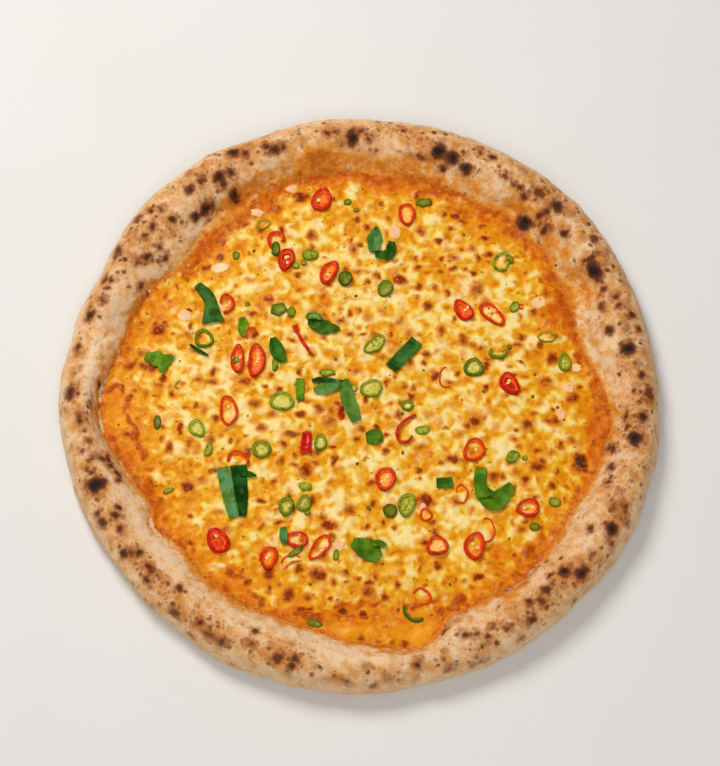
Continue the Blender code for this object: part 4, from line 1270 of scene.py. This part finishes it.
def lay_leaf(ground, pile, row, rng, look, cuts=40, across=11, thick=None):
    """A cut of leaf: a thin sheet with cut ends that lies over what is under it."""
    stops, widths, depth, fold = row
    tone, teal, frill = look
    depth = thick or depth * 0.6
    sides = np.linspace(-0.5, 0.5, across)
    first, middle, last = widths
    top = np.zeros((cuts, across, 3))
    length = 0.0
    before = None
    for k in range(cuts):
        share = k / (cuts - 1)
        spot, ahead = on_path(stops, share)
        aside = np.array([-ahead[1], ahead[0]])
        if before is not None:
            length += np.linalg.norm(spot - before)
        before = spot
        end = first if share < 0.5 else last
        width = end + (middle - end) * math.sin(share * math.pi)
        width *= 1 + frill * 0.22 * math.sin(share * 17 + stops[0][0])
        for j, side in enumerate(sides):
            place = spot + aside * width * side
            top[k, j, :2] = place
    base = np.array([[ground.height(px, py) for px, py in line] for line in top[:, :, :2]])
    # The sheet bridges small dips, so it rests on the high places only.
    for _ in range(3):
        around = np.pad(base, 1, mode="edge")
        mean = (
            around[:-2, 1:-1] + around[2:, 1:-1] + around[1:-1, :-2] + around[1:-1, 2:]
        ) / 4
        base = np.maximum(base, mean)
    flat = np.concatenate([top[:, :, :2].reshape(-1, 2), np.zeros((cuts * across, 1))], 1)
    curl = noise(flat + rng.uniform(0, 50), 7.0, 81).reshape(cuts, across)
    crease = noise(flat + rng.uniform(0, 50), 3.2, 82).reshape(cuts, across)
    edge = np.abs(sides)[None, :] * 2
    run = np.linspace(0, 1, cuts)[:, None]
    lifted = max(fold, 0) * edge**1.6 + max(-fold, 0) * (1 - edge**1.3)
    lifted = lifted * 1.1 + 0.28 * (curl + 0.6) * (0.4 + 0.6 * edge) + 0.08 * crease
    lifted += 0.18 * (1 - np.exp(-(((sides[None, :]) / 0.05) ** 2)))
    lifted += frill * 0.9 * (np.sin(run * 15 + sides[None, :] * 5) * 0.5 + 0.5) * edge
    lifted += 0.5 * (smooth(run, 0.9, 1.0) + smooth(run, 0.1, 0.0)) * rng.uniform(0.2, 0.9)
    top[:, :, 2] = base + 0.12 + np.maximum(lifted, 0.0) + depth
    low = top.copy()
    thin = depth * (1 - 0.45 * edge**4)
    low[:, :, 2] = top[:, :, 2] - thin
    sections = np.concatenate([top, low[:, ::-1]], 1)
    points, faces = tube(sections, False)
    side_values = np.tile(np.concatenate([sides, sides[::-1]]), cuts)
    runs = np.repeat(np.arange(cuts) / (cuts - 1) * length, 2 * across)
    under = np.tile(np.concatenate([0 * sides, 0 * sides + 1.0]), cuts)
    ends = np.zeros(2)
    made = pile.add(
        points,
        faces,
        tone=tone,
        teal=teal,
        side=np.concatenate([side_values, ends]),
        run=np.concatenate([runs, ends]),
        under=np.concatenate([under, ends]),
    )
    return made


CHILLI_RINGS = (
    (-54.3, 84.0, 10.6, 9.2, 60, 1.5, 2.6, -55, 80),
    (-47.6, 72.8, 13.4, 9.0, 80, 1.7, 2.6, 0, 0),
    (-31.4, 110.4, 14.6, 10.8, 75, 1.9, 2.6, 0, 0),
    (16.0, 105.8, 13.4, 9.4, 98, 1.3, 2.6, 0, 0),
    (-23.8, 67.2, 15.0, 8.4, 66, 1.6, 2.8, 0, 0),
    (-77.2, 43.8, 11.6, 8.4, 90, 1.3, 2.4, 215, 70),
    (50.5, 51.2, 13.6, 9.0, 130, 1.8, 2.6, 0, 0),
    (65.9, 50.7, 16.4, 8.8, 140, 1.3, 2.4, 0, 0),
    (-68.2, 12.3, 16.6, 7.2, 93, 1.3, 2.4, 0, 0),
    (-58.1, 12.4, 19.4, 9.2, 92, 1.6, 2.6, 0, 0),
    (-70.2, -17.3, 17.0, 9.8, 100, 1.2, 2.2, 0, 0),
    (-62.6, -44.8, 12.4, 11.0, 0, 1.3, 2.2, 270, 150),
    (15.6, -48.3, 13.2, 10.6, 90, 1.7, 2.6, 0, 0),
    (77.6, 10.8, 13.6, 9.4, 125, 2.0, 2.6, 0, 0),
    (61.0, -28.0, 13.6, 11.0, 65, 1.2, 2.4, 0, 0),
    (-68.6, -89.5, 14.2, 10.8, 125, 2.3, 2.8, 0, 0),
    (-28.0, -85.5, 12.2, 9.4, 0, 1.6, 2.6, 0, 0),
    (-15.6, -88.6, 16.2, 8.2, 55, 1.2, 2.2, 0, 0),
    (-41.6, -96.4, 12.4, 9.2, 80, 1.6, 2.6, 0, 0),
    (45.0, -82.5, 11.6, 10.8, 0, 1.4, 2.6, 0, 0),
    (64.3, -81.0, 15.2, 10.6, 85, 1.6, 2.6, 0, 0),
    (91.2, -57.8, 12.2, 10.2, 10, 1.5, 2.6, 0, 0),
)
# How orange each slice is, from deep red at 0.
CHILLI_TONES = (
    0.45, 0.15, 0.3, 0.3, 0.3, 0.45, 0.1, 0.4, 0.15, 0.15, 0.7,
    0.7, 0.45, -0.4, 0.5, 0.0, 0.3, 0.6, 0.5, 0.4, 0.4, 0.4,
)  # fmt: skip
# What fills each slice: nothing below 0, then from deep red at 0 to gold at 1.
CHILLI_FILLS = (
    -1, 0.1, 0.45, 0.9, 0.6, -1, 0.35, -1, 0.45, 0.5, -1, -1, 0.7, 0.05, -1, 0.25, -1, -1, 0.6, 0.9, -1, -1,
)  # fmt: skip
# Thin curls and rings that lie in the cheese, too slight for solids of their own.
CHILLI_CURLS = (
    (38, -66, 7, 7, 0, 1.0, 1.4, 0, 0),
    (56, -53, 7, 11, 0, 1.0, 1.2, 200, 60),
    (70, -72, 9, 14, 0, 0.9, 0.9, 180, 110),
    (44, 12, 9, 12, 0, 0.9, 1.0, 20, 150),
    (-10.5, -13, 4, 8, 0, 1.0, 1.2, 0, 130),
    (-62, 27.5, 8, 8, 0, 1.2, 1.8, -40, 200),
    (81.5, 56.5, 4, 3, 0, 1.0, 1.2, 0, 60),
    (-29, -98, 12, 9, 0, 0.8, 0.8, 300, 210),
    (-39, 33, 3.4, 4.2, 0, 1.2, 1.4, 0, 40),
    (38.6, -110.4, 10.6, 9.6, 0, 1.3, 0.9, 210, 90),
)
PEPPER_RINGS = (
    (69.5, 82.0, 12.0, 9.0, 70, 1.3, 2.0, 0, 0),
    (-87.3, 22.6, 11.2, 9.8, 120, 1.5, 2.2, 0, 0),
    (-85.8, -28.8, 10.0, 8.0, 120, 1.6, 2.2, 0, 0),
    (-50.8, -37.5, 10.2, 9.4, 0, 1.8, 2.2, 0, 0),
    (4.2, 27.5, 13.8, 7.4, 45, 1.2, 2.0, 0, 0),
    (4.3, 1.6, 12.2, 9.6, 20, 1.4, 2.2, 0, 0),
    (-42.6, -9.5, 13.2, 10.2, 0, 1.6, 2.2, 0, 0),
    (-20.2, -31.0, 9.2, 6.8, 85, 1.5, 2.2, 0, 0),
    (58.0, 18.6, 10.8, 10.2, 0, 1.9, 2.2, 0, 0),
    (70.4, 28.8, 9.8, 8.4, 0, 1.9, 2.2, 90, 110),
    (106.6, 26.0, 10.4, 7.0, 95, 1.6, 2.2, 0, 0),
    (-35.0, -67.8, 10.6, 8.0, 90, 1.9, 2.2, 0, 0),
    (-26.0, -65.4, 9.2, 7.2, 70, 1.8, 2.2, 0, 0),
    (27.6, -61.5, 13.2, 8.8, 80, 1.5, 2.2, 0, 0),
)
# How bright each is: 0 olive and dark, 1 fresh lime.
PEPPER_TONES = (0.9, 0.3, 1.0, 0.6, 0.7, 0.8, 0.8, 0.6, 0.2, 0.5, 0.6, 0.4, 0.6, 0.7)
# How much pale flesh fills each.
PEPPER_FILLS = (-1, -1, 0.9, 0.8, 0.6, 0.8, 1.0, 1.0, 0.9, -1, 0.6, 0.7, 0.6, 0.4)
PEPPER_CURLS = (
    (-20, 8, 9, 6, 10, 1.4, 1.6, 260, 170),
    (96.2, 40, 9.5, 6.5, 0, 0.9, 1.0, 0, 0),
    (-62, 93, 8, 6, 30, 0.9, 1.0, 0, 0),
    (35.4, -119.2, 13, 8.4, -25, 2.4, 1.0, 55, 150),
    (24, -6, 7, 6, 20, 1.6, 1.8, 0, 0),
    (-98, -5, 4, 5, 0, 0.8, 1.0, 0, 150),
)
PEPPER_DISCS = (
    (-34.8, 77.0, 9.0, 6.6, 0, 2.0, 0.6),
    (-14.6, 64.4, 9.2, 7.8, 90, 2.0, -0.2),
    (7.5, 60.5, 10.2, 8.2, 80, 2.0, 0.3),
)
LEAVES = (
    (((-94.0, 53.6), (-86.6, 45.4), (-83.2, 32.2)), (4.4, 6.8, 12.6), 0.9, -0.6),
    (((0.5, 79.5), (8.0, 80.5), (9.0, 88.0)), (3.6, 6.0, 4.0), 0.9, 0.5),
    (((-0.4, 81.0), (-0.6, 89.0), (0.2, 96.5)), (5.0, 8.0, 1.2), 0.9, 0.6),
    (((-117.6, 9.8), (-109.5, 8.2), (-104.2, 5.4)), (4.0, 8.4, 13.8), 0.9, -0.5),
    (((-50.5, 26.0), (-47.6, 19.0), (-43.6, 12.6)), (3.0, 7.8, 4.0), 0.9, 0.6),
    (((-32.4, 37.0), (-24.0, 34.6), (-15.2, 34.4)), (3.0, 8.4, 1.5), 0.9, -0.6),
    (((26.6, 31.2), (20.2, 22.4), (13.6, 14.0)), (7.2, 7.6, 7.0), 0.9, 0.5),
    (((-26.0, -2.2), (-19.0, 0.4), (-12.8, 2.6)), (2.4, 7.2, 4.0), 0.9, 0.4),
    (((-11.2, 5.0), (-7.4, -6.0), (-2.2, -17.6)), (6.0, 7.6, 5.4), 0.9, 0.6),
    (((3.6, -26.2), (7.8, -25.4), (12.0, -24.4)), (5.4, 8.6, 6.6), 1.0, -0.6),
    (((-33.8, 4.0), (-33.6, -2.0), (-33.0, -8.2)), (4.2, 4.6, 3.8), 0.9, 0.4),
    (((66.8, -51.6), (73.6, -55.8), (82.2, -46.0)), (8.0, 10.6, 4.2), 0.9, 0.4),
    (((-70.2, -49.6), (-65.6, -63.0), (-61.4, -76.4)), (6.4, 7.4, 5.6), 0.9, 0.4),
    (((-62.0, -47.6), (-59.4, -61.0), (-57.0, -75.5)), (9.0, 7.2, 3.4), 0.9, -0.4),
    (((0.8, -84.4), (8.6, -87.6), (15.6, -92.2)), (4.6, 10.6, 6.0), 0.9, -0.7),
    (((-67.4, 36.6), (-67.0, 31.0), (-66.4, 25.4)), (1.6, 6.2, 1.8), 0.9, 0.5),
)  # fmt: skip
# Each leaf's brightness, how bluish it is (partly its own colour, partly a painted sheen), and how frilled.
LEAF_LOOKS = (
    (0.2, 0.15, 0.0), (0.15, 0.0, 0.3), (0.6, 0.8, 0.3), (0.85, 0.0, 0.5), (0.15, 0.0, 0.0),
    (0.3, 0.0, 0.2), (0.1, 0.15, 0.0), (1.0, 1.3, 0.0), (0.6, 0.3, 0.0), (0.4, 0.0, 0.0),
    (0.8, 0.0, 0.0), (0.6, 0.0, 0.0), (0.8, 1.1, 0.0), (-0.4, 0.0, 0.0), (0.5, 0.0, 0.2),
    (1.0, 0.0, 0.0),
)  # fmt: skip
# The second arm of the twelfth, which bends sharply.
LEAF_ARM = (((65.2, -37.9), (65.2, -46.0), (67.6, -54.6)), (5.8, 6.6, 8.0), 0.9, 0.3)
# Cuts of leaf that are too small for solids of their own.
LEAF_SCRAPS = (
    ((((-60.0, -51.0), (-56.5, -52.0), (-52.0, -52.5)), (5.0, 3.5, 0.8), 0.9, 0.2), (-0.2, 0.0, 0.0)),
    ((((11.0, -84.6), (14.5, -84.0), (18.8, -84.8)), (3.0, 4.0, 1.6), 0.9, 0.3), (0.8, 0.0, 0.0)),
    ((((42.3, -48.4), (46.5, -48.0), (50.8, -47.2)), (5.6, 6.0, 6.2), 0.9, -0.3), (0.35, 0.1, 0.0)),
    ((((-33.5, 38.5), (-30.0, 40.5), (-25.5, 39.5)), (3.0, 5.0, 3.0), 0.9, 0.4), (0.8, 1.0, 0.5)),
    ((((-27.5, 3.4), (-22.0, 4.6), (-15.0, 4.4)), (2.0, 3.0, 1.6), 0.9, 0.2), (0.05, 0.1, 0.0)),
    ((((-35.6, -79.4), (-35.0, -84.0), (-34.0, -88.6)), (3.0, 4.2, 2.4), 0.9, 0.4), (0.5, 0.7, 0.0)),
    ((((-94.5, 18.6), (-90.0, 15.6), (-84.0, 12.6)), (1.0, 2.2, 0.8), 0.9, 0.2), (0.0, 0.0, 0.0)),
)
CHILLI_STRIPS = (
    (((-27.6, -26.2), (-27.6, -32.0), (-27.4, -37.8)), (4.6, 5.6, 6.0), 1.6, 0.0),
    (((-39.4, 34.0), (-35.6, 27.0), (-30.0, 19.4)), (2.4, 1.8, 1.6), 1.4, 0.0),
    (
        ((29.0, -11.2), (24.6, -14.2), (20.8, -18.6), (19.8, -23.4), (22.0, -27.2),
         (25.8, -27.0), (28.0, -23.6)),
        (1.4, 1.8, 1.4), 2.2, 0.0,
    ),
)  # fmt: skip
# Small green cuts: place, size, turn, height, brightness, squareness, dish.
GREEN_BITS = (
    (-53.8, 78.5, 4.5, 8, 0, 1.6, -0.1, 0.6, 0.2), (-42, 70, 4, 3.4, 0, 1.2, 0.5, 0.2, 0.2),
    (-17, 110.5, 4, 4, 0, 1.0, 0.1, 0.2, 0.2), (25, 114.5, 10, 5, 10, 0.9, 0.15, 0.1, 0.4),
    (-49, 43, 9, 7.5, 20, 1.2, 0.2, 0.1, 0.6), (-42, 42, 5, 6, 0, 1.0, 0.3, 0.1, 0.4),
    (-29, 39, 8, 6, 0, 1.2, 0.9, 0.1, 0.4), (-75, 73, 4, 5, 0, 0.6, 0.2, 0.1, 0.3),
    (78, 56, 5, 6, 0, 1.5, 0.6, 0.3, 0.2), (76.5, 32.5, 2.5, 3, 0, 0.8, 0.0, 0.1, 0.0),
    (-20, 8.6, 7, 3.6, 8, 1.2, 0.8, 0.1, 0.3), (-5, 1, 4, 4, 0, 1.3, 0.95, 0.2, 0.4),
    (33, -19.5, 8, 4.6, 10, 1.0, 0.9, 0.3, 0.3), (-48, 11, 3.4, 8, 5, 0.9, 0.3, 0.3, 0.2),
    (-78.5, -40, 4, 8, -10, 1.2, 0.7, 0.2, 0.3), (-69, 12, 3.2, 4.6, 0, 0.8, 0.4, 0.1, 0.2),
    (-26, -56, 7, 4.6, 0, 1.2, 0.95, 0.2, 0.4), (-28, -92, 9, 3.4, 40, 1.0, 0.25, 0.3, 0.2),
    (-7, -92, 3, 6, -10, 1.2, 0.5, 0.2, 0.3), (19.2, -65.5, 7.6, 7, 0, 1.6, -0.1, 0.2, 0.4),
    (81.5, -30, 6, 7.4, -20, 1.8, 0.55, 0.5, 0.3), (105, -53, 6, 5.4, 0, 1.5, 0.6, 0.4, 0.2),
    (95, -67.5, 5, 4.6, 0, 1.0, 0.2, 0.2, 0.3), (-97, -64, 6, 3, 20, 0.6, 0.4, 0.1, 0.2),
    (-15, -129, 8, 4, -8, 0.7, 0.1, 0.2, 0.2), (-107, -27, 4, 8.4, 5, 0.8, 0.05, 0.1, 0.3),
    (74, 84, 4, 6, 20, 1.0, 0.4, 0.1, 0.4), (-38, 72, 3, 3.6, 0, 1.0, 0.4, 0.1, 0.2),
    (-66, 45, 3, 2.4, 0, 0.6, 0.1, 0.1, 0.0), (88, -30, 3, 2.6, 0, 0.8, 0.6, 0.1, 0.2),
    (-24, -70, 3.4, 3, 0, 1.0, 0.3, 0.1, 0.2), (-12, 106, 3, 2.6, 0, 0.6, 0.2, 0.1, 0.0),
)  # fmt: skip
# Scraps of ham and white cheese: place, size, turn, height, pinkness.
PALE_BITS = (
    (-66, 100, 7, 5, 0, 1.0, 0.7), (-83, 65, 9, 7, 20, 1.0, 0.4), (-48, 116, 6, 5, 0, 0.9, 0.9),
    (10, 95, 8, 8, 0, 1.1, 0.9), (91, 60, 9, 7, 30, 1.1, 0.6), (-6, -87, 6, 6, 0, 0.9, 0.8),
    (-66, -102, 5, 3, 0, 0.7, 0.4), (-99, 35, 8, 7, 0, 0.9, 0.8), (113, 24, 6, 5, 0, 0.8, 0.4),
    (36, -62, 4, 4, 0, 0.7, 0.9), (106, -4, 5, 6, 0, 0.9, 0.8), (109, 12, 7, 6, 0, 0.9, 0.7),
)  # fmt: skip
# Single dark flakes: place and size.
FLAKES = (
    (-65.5, 76.5, 2.2), (-8, 55, 2), (-40, 64, 2), (48, 97, 2), (-16, 17, 2), (21.5, -11, 2),
    (23.5, -33, 2), (0, -41, 2), (91, 17.5, 2), (64, 5.5, 2), (90.5, 5, 2), (104, 0, 2),
    (-1, -100, 2), (-19, -108.5, 2), (53, -102.5, 2), (8, -65, 3),
)  # fmt: skip


def make_toppings(cheese):
    ground = Ground()
    ground.add(*cheese)
    rng = np.random.default_rng(17)

    # Scraps of ham and soft white cheese lie in the surface, under all the rest.
    pile = Pile("skin", "tone")
    for x, y, long, short, turn, tall, pink in PALE_BITS:
        lay_chip(
            ground, pile, x, y, long, short, turn, tall * 0.3, rng, tone=pink,
            square=0.1, sink=0.9, rough=0.16, count=32,
        )  # fmt: skip
    p = Paint("ham", roughness=0.45, specular=0.3)
    mottle = p.noise(1.8, 3.0, 0.6)
    white = p.mix(mottle, tint(246, 206, 128), tint(248, 232, 196))
    rosy = p.mix(mottle, tint(222, 140, 98), tint(244, 200, 166))
    colour = p.mix(p.value("tone"), white, rosy)
    edge = p.sum("MULTIPLY_ADD", p.sum("SUBTRACT", mottle, 0.5), 1.6, p.value("skin"))
    colour = p.mix(p.step(edge, 0.35, 0.85, 0.0, 0.95), colour, tint(238, 176, 66))
    normal = p.relief(mottle, 0.25)
    pile.make("ham_bits", p.finish(colour, None, normal))

    # Chilli.
    red = Pile("skin", "tone", "fill")
    for row, tone, fill in zip(CHILLI_RINGS, CHILLI_TONES, CHILLI_FILLS, strict=True):
        bulge = float(rng.uniform(0.2, 0.9))
        if fill >= 0:
            inside = lay_fill(ground, red, row, rng, fill, 1.35)
        ground.add(*lay_ring(ground, red, row, rng, tone=tone, bulge=bulge, grow=1.35))
        if fill >= 0:
            ground.add(*inside)
    for row, tone in zip(CHILLI_STRIPS, (-0.6, 0.15, 0.2), strict=True):
        look = (tone, 0.0, 0.0)
        made = lay_leaf(ground, red, row, rng, look, cuts=46, across=9, thick=1.1)
        red.values["skin"][-1] = np.ones(len(made[0]))
        ground.add(*made)
    p = Paint(
        "red_chilli", roughness=0.3, coat=0.05, coat_roughness=0.12, specular=0.3,
        glint=(1.0, 0.55, 0.4),
    )  # fmt: skip
    small = p.noise(1.5, 2.0, 0.6)
    cut = p.sum("MULTIPLY_ADD", p.sum("SUBTRACT", small, 0.5), 0.5, p.value("skin"))
    hide = p.mix(p.value("tone"), tint(190, 6, 2), tint(218, 76, 10))
    hide = p.mix(p.step(p.noise(4.0, 2.0), 0.48, 0.7, 0.0, 0.6), hide, tint(134, 4, 2))
    flesh = p.ramp(
        cut, (0.0, tint(244, 130, 40)), (0.12, tint(236, 74, 10)), (0.28, tint(216, 24, 2))
    )
    colour = p.mix(p.step(cut, 0.28, 0.58), flesh, hide)
    depth = p.sum("MULTIPLY_ADD", p.sum("SUBTRACT", small, 0.5), 0.7, p.value("tone"))
    depth = p.sum("MULTIPLY_ADD", p.value("skin"), -0.35, depth)
    pith = p.ramp(
        depth, (0.0, tint(170, 16, 2)), (0.22, tint(222, 66, 8)), (0.48, tint(240, 138, 36)),
        (0.78, tint(246, 186, 86)),
    )  # fmt: skip
    colour = p.mix(p.value("fill"), colour, pith)
    normal = p.relief(small, 0.14)
    rings = [f"chilli_ring_{k + 1:02d}" for k in range(len(CHILLI_RINGS))]
    strips = [f"chilli_strip_{k + 1:02d}" for k in range(len(CHILLI_STRIPS))]
    paint_red = p.finish(colour, None, normal)
    red.make("chilli_slices", paint_red, rings + strips)

    curls = Pile("skin", "tone")
    for row in CHILLI_CURLS:
        lay_ring(ground, curls, row, rng, tone=1.0, sink=0.9, sides=44, grow=1.2)
    curls.make("chilli_curls", paint_red)

    # Green slices.
    green = Pile("skin", "tone", "fill")
    for row, tone, fill in zip(PEPPER_RINGS, PEPPER_TONES, PEPPER_FILLS, strict=True):
        if fill >= 0:
            inside = lay_fill(ground, green, row, rng, fill, 1.05, 0.7)
        made = lay_ring(ground, green, row, rng, tone=tone, bulge=0.3, sides=54, grow=1.05)
        ground.add(*made)
        if fill >= 0:
            ground.add(*inside)
    for x, y, long, short, turn, tall, tone in PEPPER_DISCS:
        made = lay_chip(
            ground, green, x, y, long, short, turn, tall, rng, tone=tone, dish=0.35,
            count=40, rings=8,
        )  # fmt: skip
        ground.add(*made)
    p = Paint("green_pepper", roughness=0.36, specular=0.2, glint=(0.8, 1.0, 0.5))
    small = p.noise(1.6, 2.0, 0.6)
    cut = p.sum("MULTIPLY_ADD", p.sum("SUBTRACT", small, 0.5), 0.6, p.value("skin"))
    hide = p.mix(p.value("tone"), tint(62, 80, 0), tint(126, 148, 22))
    flesh = p.mix(p.value("tone"), tint(116, 114, 8), tint(180, 178, 56))
    colour = p.mix(p.step(cut, 0.15, 0.65), flesh, hide)
    colour = p.mix(p.step(p.noise(3.2, 2.0), 0.5, 0.7, 0.0, 0.6), colour, tint(60, 86, 2))
    depth = p.sum("MULTIPLY_ADD", p.sum("SUBTRACT", small, 0.5), 2.4, p.value("tone"))
    pith = p.ramp(
        depth, (0.1, tint(122, 126, 10)), (0.5, tint(180, 170, 46)), (1.0, tint(218, 200, 100)),
    )  # fmt: skip
    colour = p.mix(p.value("fill"), colour, pith)
    normal = p.relief(small, 0.14)
    rings = [f"pepper_ring_{k + 1:02d}" for k in range(len(PEPPER_RINGS))]
    discs = [f"pepper_disc_{k + 1:02d}" for k in range(len(PEPPER_DISCS))]
    paint_green = p.finish(colour, None, normal)
    green.make("green_slices", paint_green, rings + discs)

    bits = Pile("skin", "tone")
    for row, tone in zip(PEPPER_CURLS, (0.5, 0.8, 0.8, 0.0, 0.5, 0.6), strict=True):
        lay_ring(ground, bits, row, rng, tone=tone, sink=0.8, sides=40)
    for x, y, long, short, turn, tall, tone, square, dish in GREEN_BITS:
        lay_chip(
            ground, bits, x, y, long, short, turn, tall, rng, tone=tone, square=square,
            dish=dish, sink=0.6, rough=0.1,
        )  # fmt: skip
    bits.make("green_bits", paint_green)

    # Leaves.
    leaves = Pile("tone", "teal", "side", "run", "under")
    for row, look in zip(LEAVES, LEAF_LOOKS, strict=True):
        ground.add(*lay_leaf(ground, leaves, row, rng, look))
    ground.add(*lay_leaf(ground, leaves, LEAF_ARM, rng, LEAF_LOOKS[11]))
    p = Paint("green_leaf", roughness=0.4, specular=0.14, glint=(0.6, 1.0, 0.6))
    across, run = p.value("side"), p.value("run")
    vein_place = p.node("ShaderNodeCombineXYZ")
    p.put(vein_place.inputs["X"], p.sum("MULTIPLY", across, 0.034))
    p.put(vein_place.inputs["Y"], p.sum("MULTIPLY", run, 0.00022))
    vein = p.noise(2.2, 2.0, 0.5, vein_place.outputs["Vector"])
    patch = p.noise(6.0, 2.0)
    deep = p.mix(p.value("tone"), tint(4, 42, 0), tint(78, 116, 0))
    light = p.mix(p.value("tone"), tint(30, 92, 10), tint(120, 156, 18))
    colour = p.mix(p.step(patch, 0.35, 0.7), deep, light)
    colour = p.mix(p.step(vein, 0.52, 0.72, 0.0, 0.45), colour, light)
    # A bluish-green cast, partly the leaf's own colour and paler underside, partly a painted sheen of light on the
    # leaf.
    teal_sheen_share = p.sum("MULTIPLY_ADD", p.value("under"), 0.4, p.value("teal"))
    amount = p.sum("MULTIPLY", teal_sheen_share, p.step(patch, 0.3, 0.65, 0.1, 0.85))
    colour = p.mix(amount, colour, tint(88, 140, 92))
    normal = p.relief(vein, 0.25)
    normal = p.relief(p.noise(0.9, 2.0), 0.06, normal)
    paint_leaf = p.finish(colour, None, normal)
    names = [f"leaf_{k + 1:02d}" for k in range(len(LEAVES))]
    leaves.make("leaf_cuts", paint_leaf, names)
    scraps = Pile("tone", "teal", "side", "run", "under")
    for row, look in LEAF_SCRAPS:
        lay_leaf(ground, scraps, row, rng, look, cuts=24, across=9)
    scraps.make("leaf_scraps", paint_leaf)

    # Seeds, mostly inside the slices and beside them.
    seeds = Pile("skin", "tone")
    for k, row in enumerate(CHILLI_RINGS):
        x, y, long, short = row[:4]
        for _ in range(int(rng.integers(1, 4)) if k % 3 else 2):
            turn, far = rng.uniform(0, 2 * np.pi), rng.uniform(0.15, 0.55)
            sx = x + math.cos(turn) * short / 2 * far
            sy = y + math.sin(turn) * short / 2 * far
            lay_chip(
                ground, seeds, sx, sy, rng.uniform(1.9, 2.5), rng.uniform(1.5, 1.9),
                rng.uniform(0, 180), 0.55, rng, count=14, rings=3, sink=0.25,
                tone=rng.uniform(0, 1), rough=0.05,
            )  # fmt: skip
    p = Paint("seed", roughness=0.4, specular=0.35)
    colour = p.mix(p.value("tone"), tint(250, 206, 116), tint(246, 178, 92))
    colour = p.mix(p.step(p.value("skin"), 0.7, 1.0, 0.0, 0.6), colour, tint(222, 128, 44))
    colour = p.mix(p.step(p.noise(0.8, 2.0), 0.4, 0.7, 0.0, 0.3), colour, tint(252, 232, 180))
    seeds.make("chilli_seeds", p.finish(colour))

    # Flakes of dried herb and black pepper.
    flakes = Pile("skin", "tone")
    for x, y, wide in FLAKES:
        lay_chip(
            ground, flakes, x, y, wide, wide * 0.8, rng.uniform(0, 180), 0.45, rng,
            count=12, rings=2, sink=0.2, rough=0.2, tone=rng.uniform(0, 1),
        )  # fmt: skip
    for x, y in scattered(rng, 19.0, 1600, 5.0):
        wide = rng.uniform(0.7, 1.5)
        lay_chip(
            ground, flakes, x, y, wide, wide * rng.uniform(0.45, 0.9),
            rng.uniform(0, 180), rng.uniform(0.15, 0.4), rng, count=10, rings=2,
            sink=0.2, rough=0.25, tone=rng.uniform(0, 1),
        )  # fmt: skip
    p = Paint("dried_herb", roughness=0.65, specular=0.15)
    colour = p.mix(p.value("tone"), tint(112, 72, 12), tint(124, 112, 22))
    colour = p.mix(p.step(p.noise(0.7, 2.0), 0.4, 0.7, 0.0, 0.6), colour, tint(62, 48, 12))
    flakes.make("herb_flakes", p.finish(colour))


# ---- floor, light and view ---------------------------------------------------
def make_set():
    mesh = bpy.data.meshes.new("floor")
    half = 3.0
    mesh.from_pydata(
        [(-half, -half, 0), (half, -half, 0), (half, half, 0), (-half, half, 0)],
        [],
        [(0, 1, 2, 3)],
    )
    floor = bpy.data.objects.new("floor", mesh)
    bpy.context.scene.collection.objects.link(floor)
    p = Paint("floor", roughness=0.85, specular=0.2)
    colour = p.mix(p.noise(90.0, 2.0), tint(222, 220, 216), tint(226, 224, 221))
    mesh.materials.append(p.finish(colour))

    def lamp(name, spot, target, size, power, colour):
        light = bpy.data.lights.new(name, "AREA")
        light.shape = "DISK"
        light.size = size
        light.energy = power
        light.color = colour
        item = bpy.data.objects.new(name, light)
        item.location = spot
        item.rotation_euler = (Vector(target) - Vector(spot)).to_track_quat("-Z", "Y").to_euler()
        bpy.context.scene.collection.objects.link(item)

    lamp("key", (-0.57, 0.64, 1.15), (0, 0, 0), 0.6, 14.1, (1.0, 0.98, 0.95))
    lamp("fill", (0.1, -0.95, 1.45), (0, 0, 0), 1.3, 10.8, (1.0, 0.99, 0.98))
    world = bpy.data.worlds.new("studio")
    world.use_nodes = True
    background = world.node_tree.nodes["Background"]
    background.inputs["Color"].default_value = (1.0, 1.0, 1.0, 1.0)
    background.inputs["Strength"].default_value = 0.27
    bpy.context.scene.world = world
    bpy.context.scene.view_settings.view_transform = "Standard"
    bpy.context.scene.view_settings.look = "None"

    # Seen from 69 degrees above the near side, turned 4.7 degrees in the picture.
    high, roll, far = math.radians(69.0), math.radians(4.7), 1.2
    away = Vector((0, math.cos(high), -math.sin(high)))
    up = Vector((0, math.sin(high), math.cos(high)))
    side = Vector((1, 0, 0))
    right = math.cos(roll) * side + math.sin(roll) * up
    top = math.cos(roll) * up - math.sin(roll) * side
    camera = bpy.data.cameras.new("view")
    camera.sensor_width = 36.0
    camera.lens = 1.864 * 1200 / 766 * 36.0
    camera.shift_x = -2.5 / 766
    camera.shift_y = 14.5 / 766
    camera.clip_start, camera.clip_end = 0.05, 20.0
    item = bpy.data.objects.new("view", camera)
    turn = Matrix((right, top, -away)).transposed().to_4x4()
    item.matrix_world = Matrix.Translation(Vector(-MID * MM) - away * far) @ turn
    bpy.context.scene.collection.objects.link(item)
    bpy.context.scene.camera = item


make_set()
make_toppings(make_cheese(make_crust()))

bpy.context.view_layer.update()
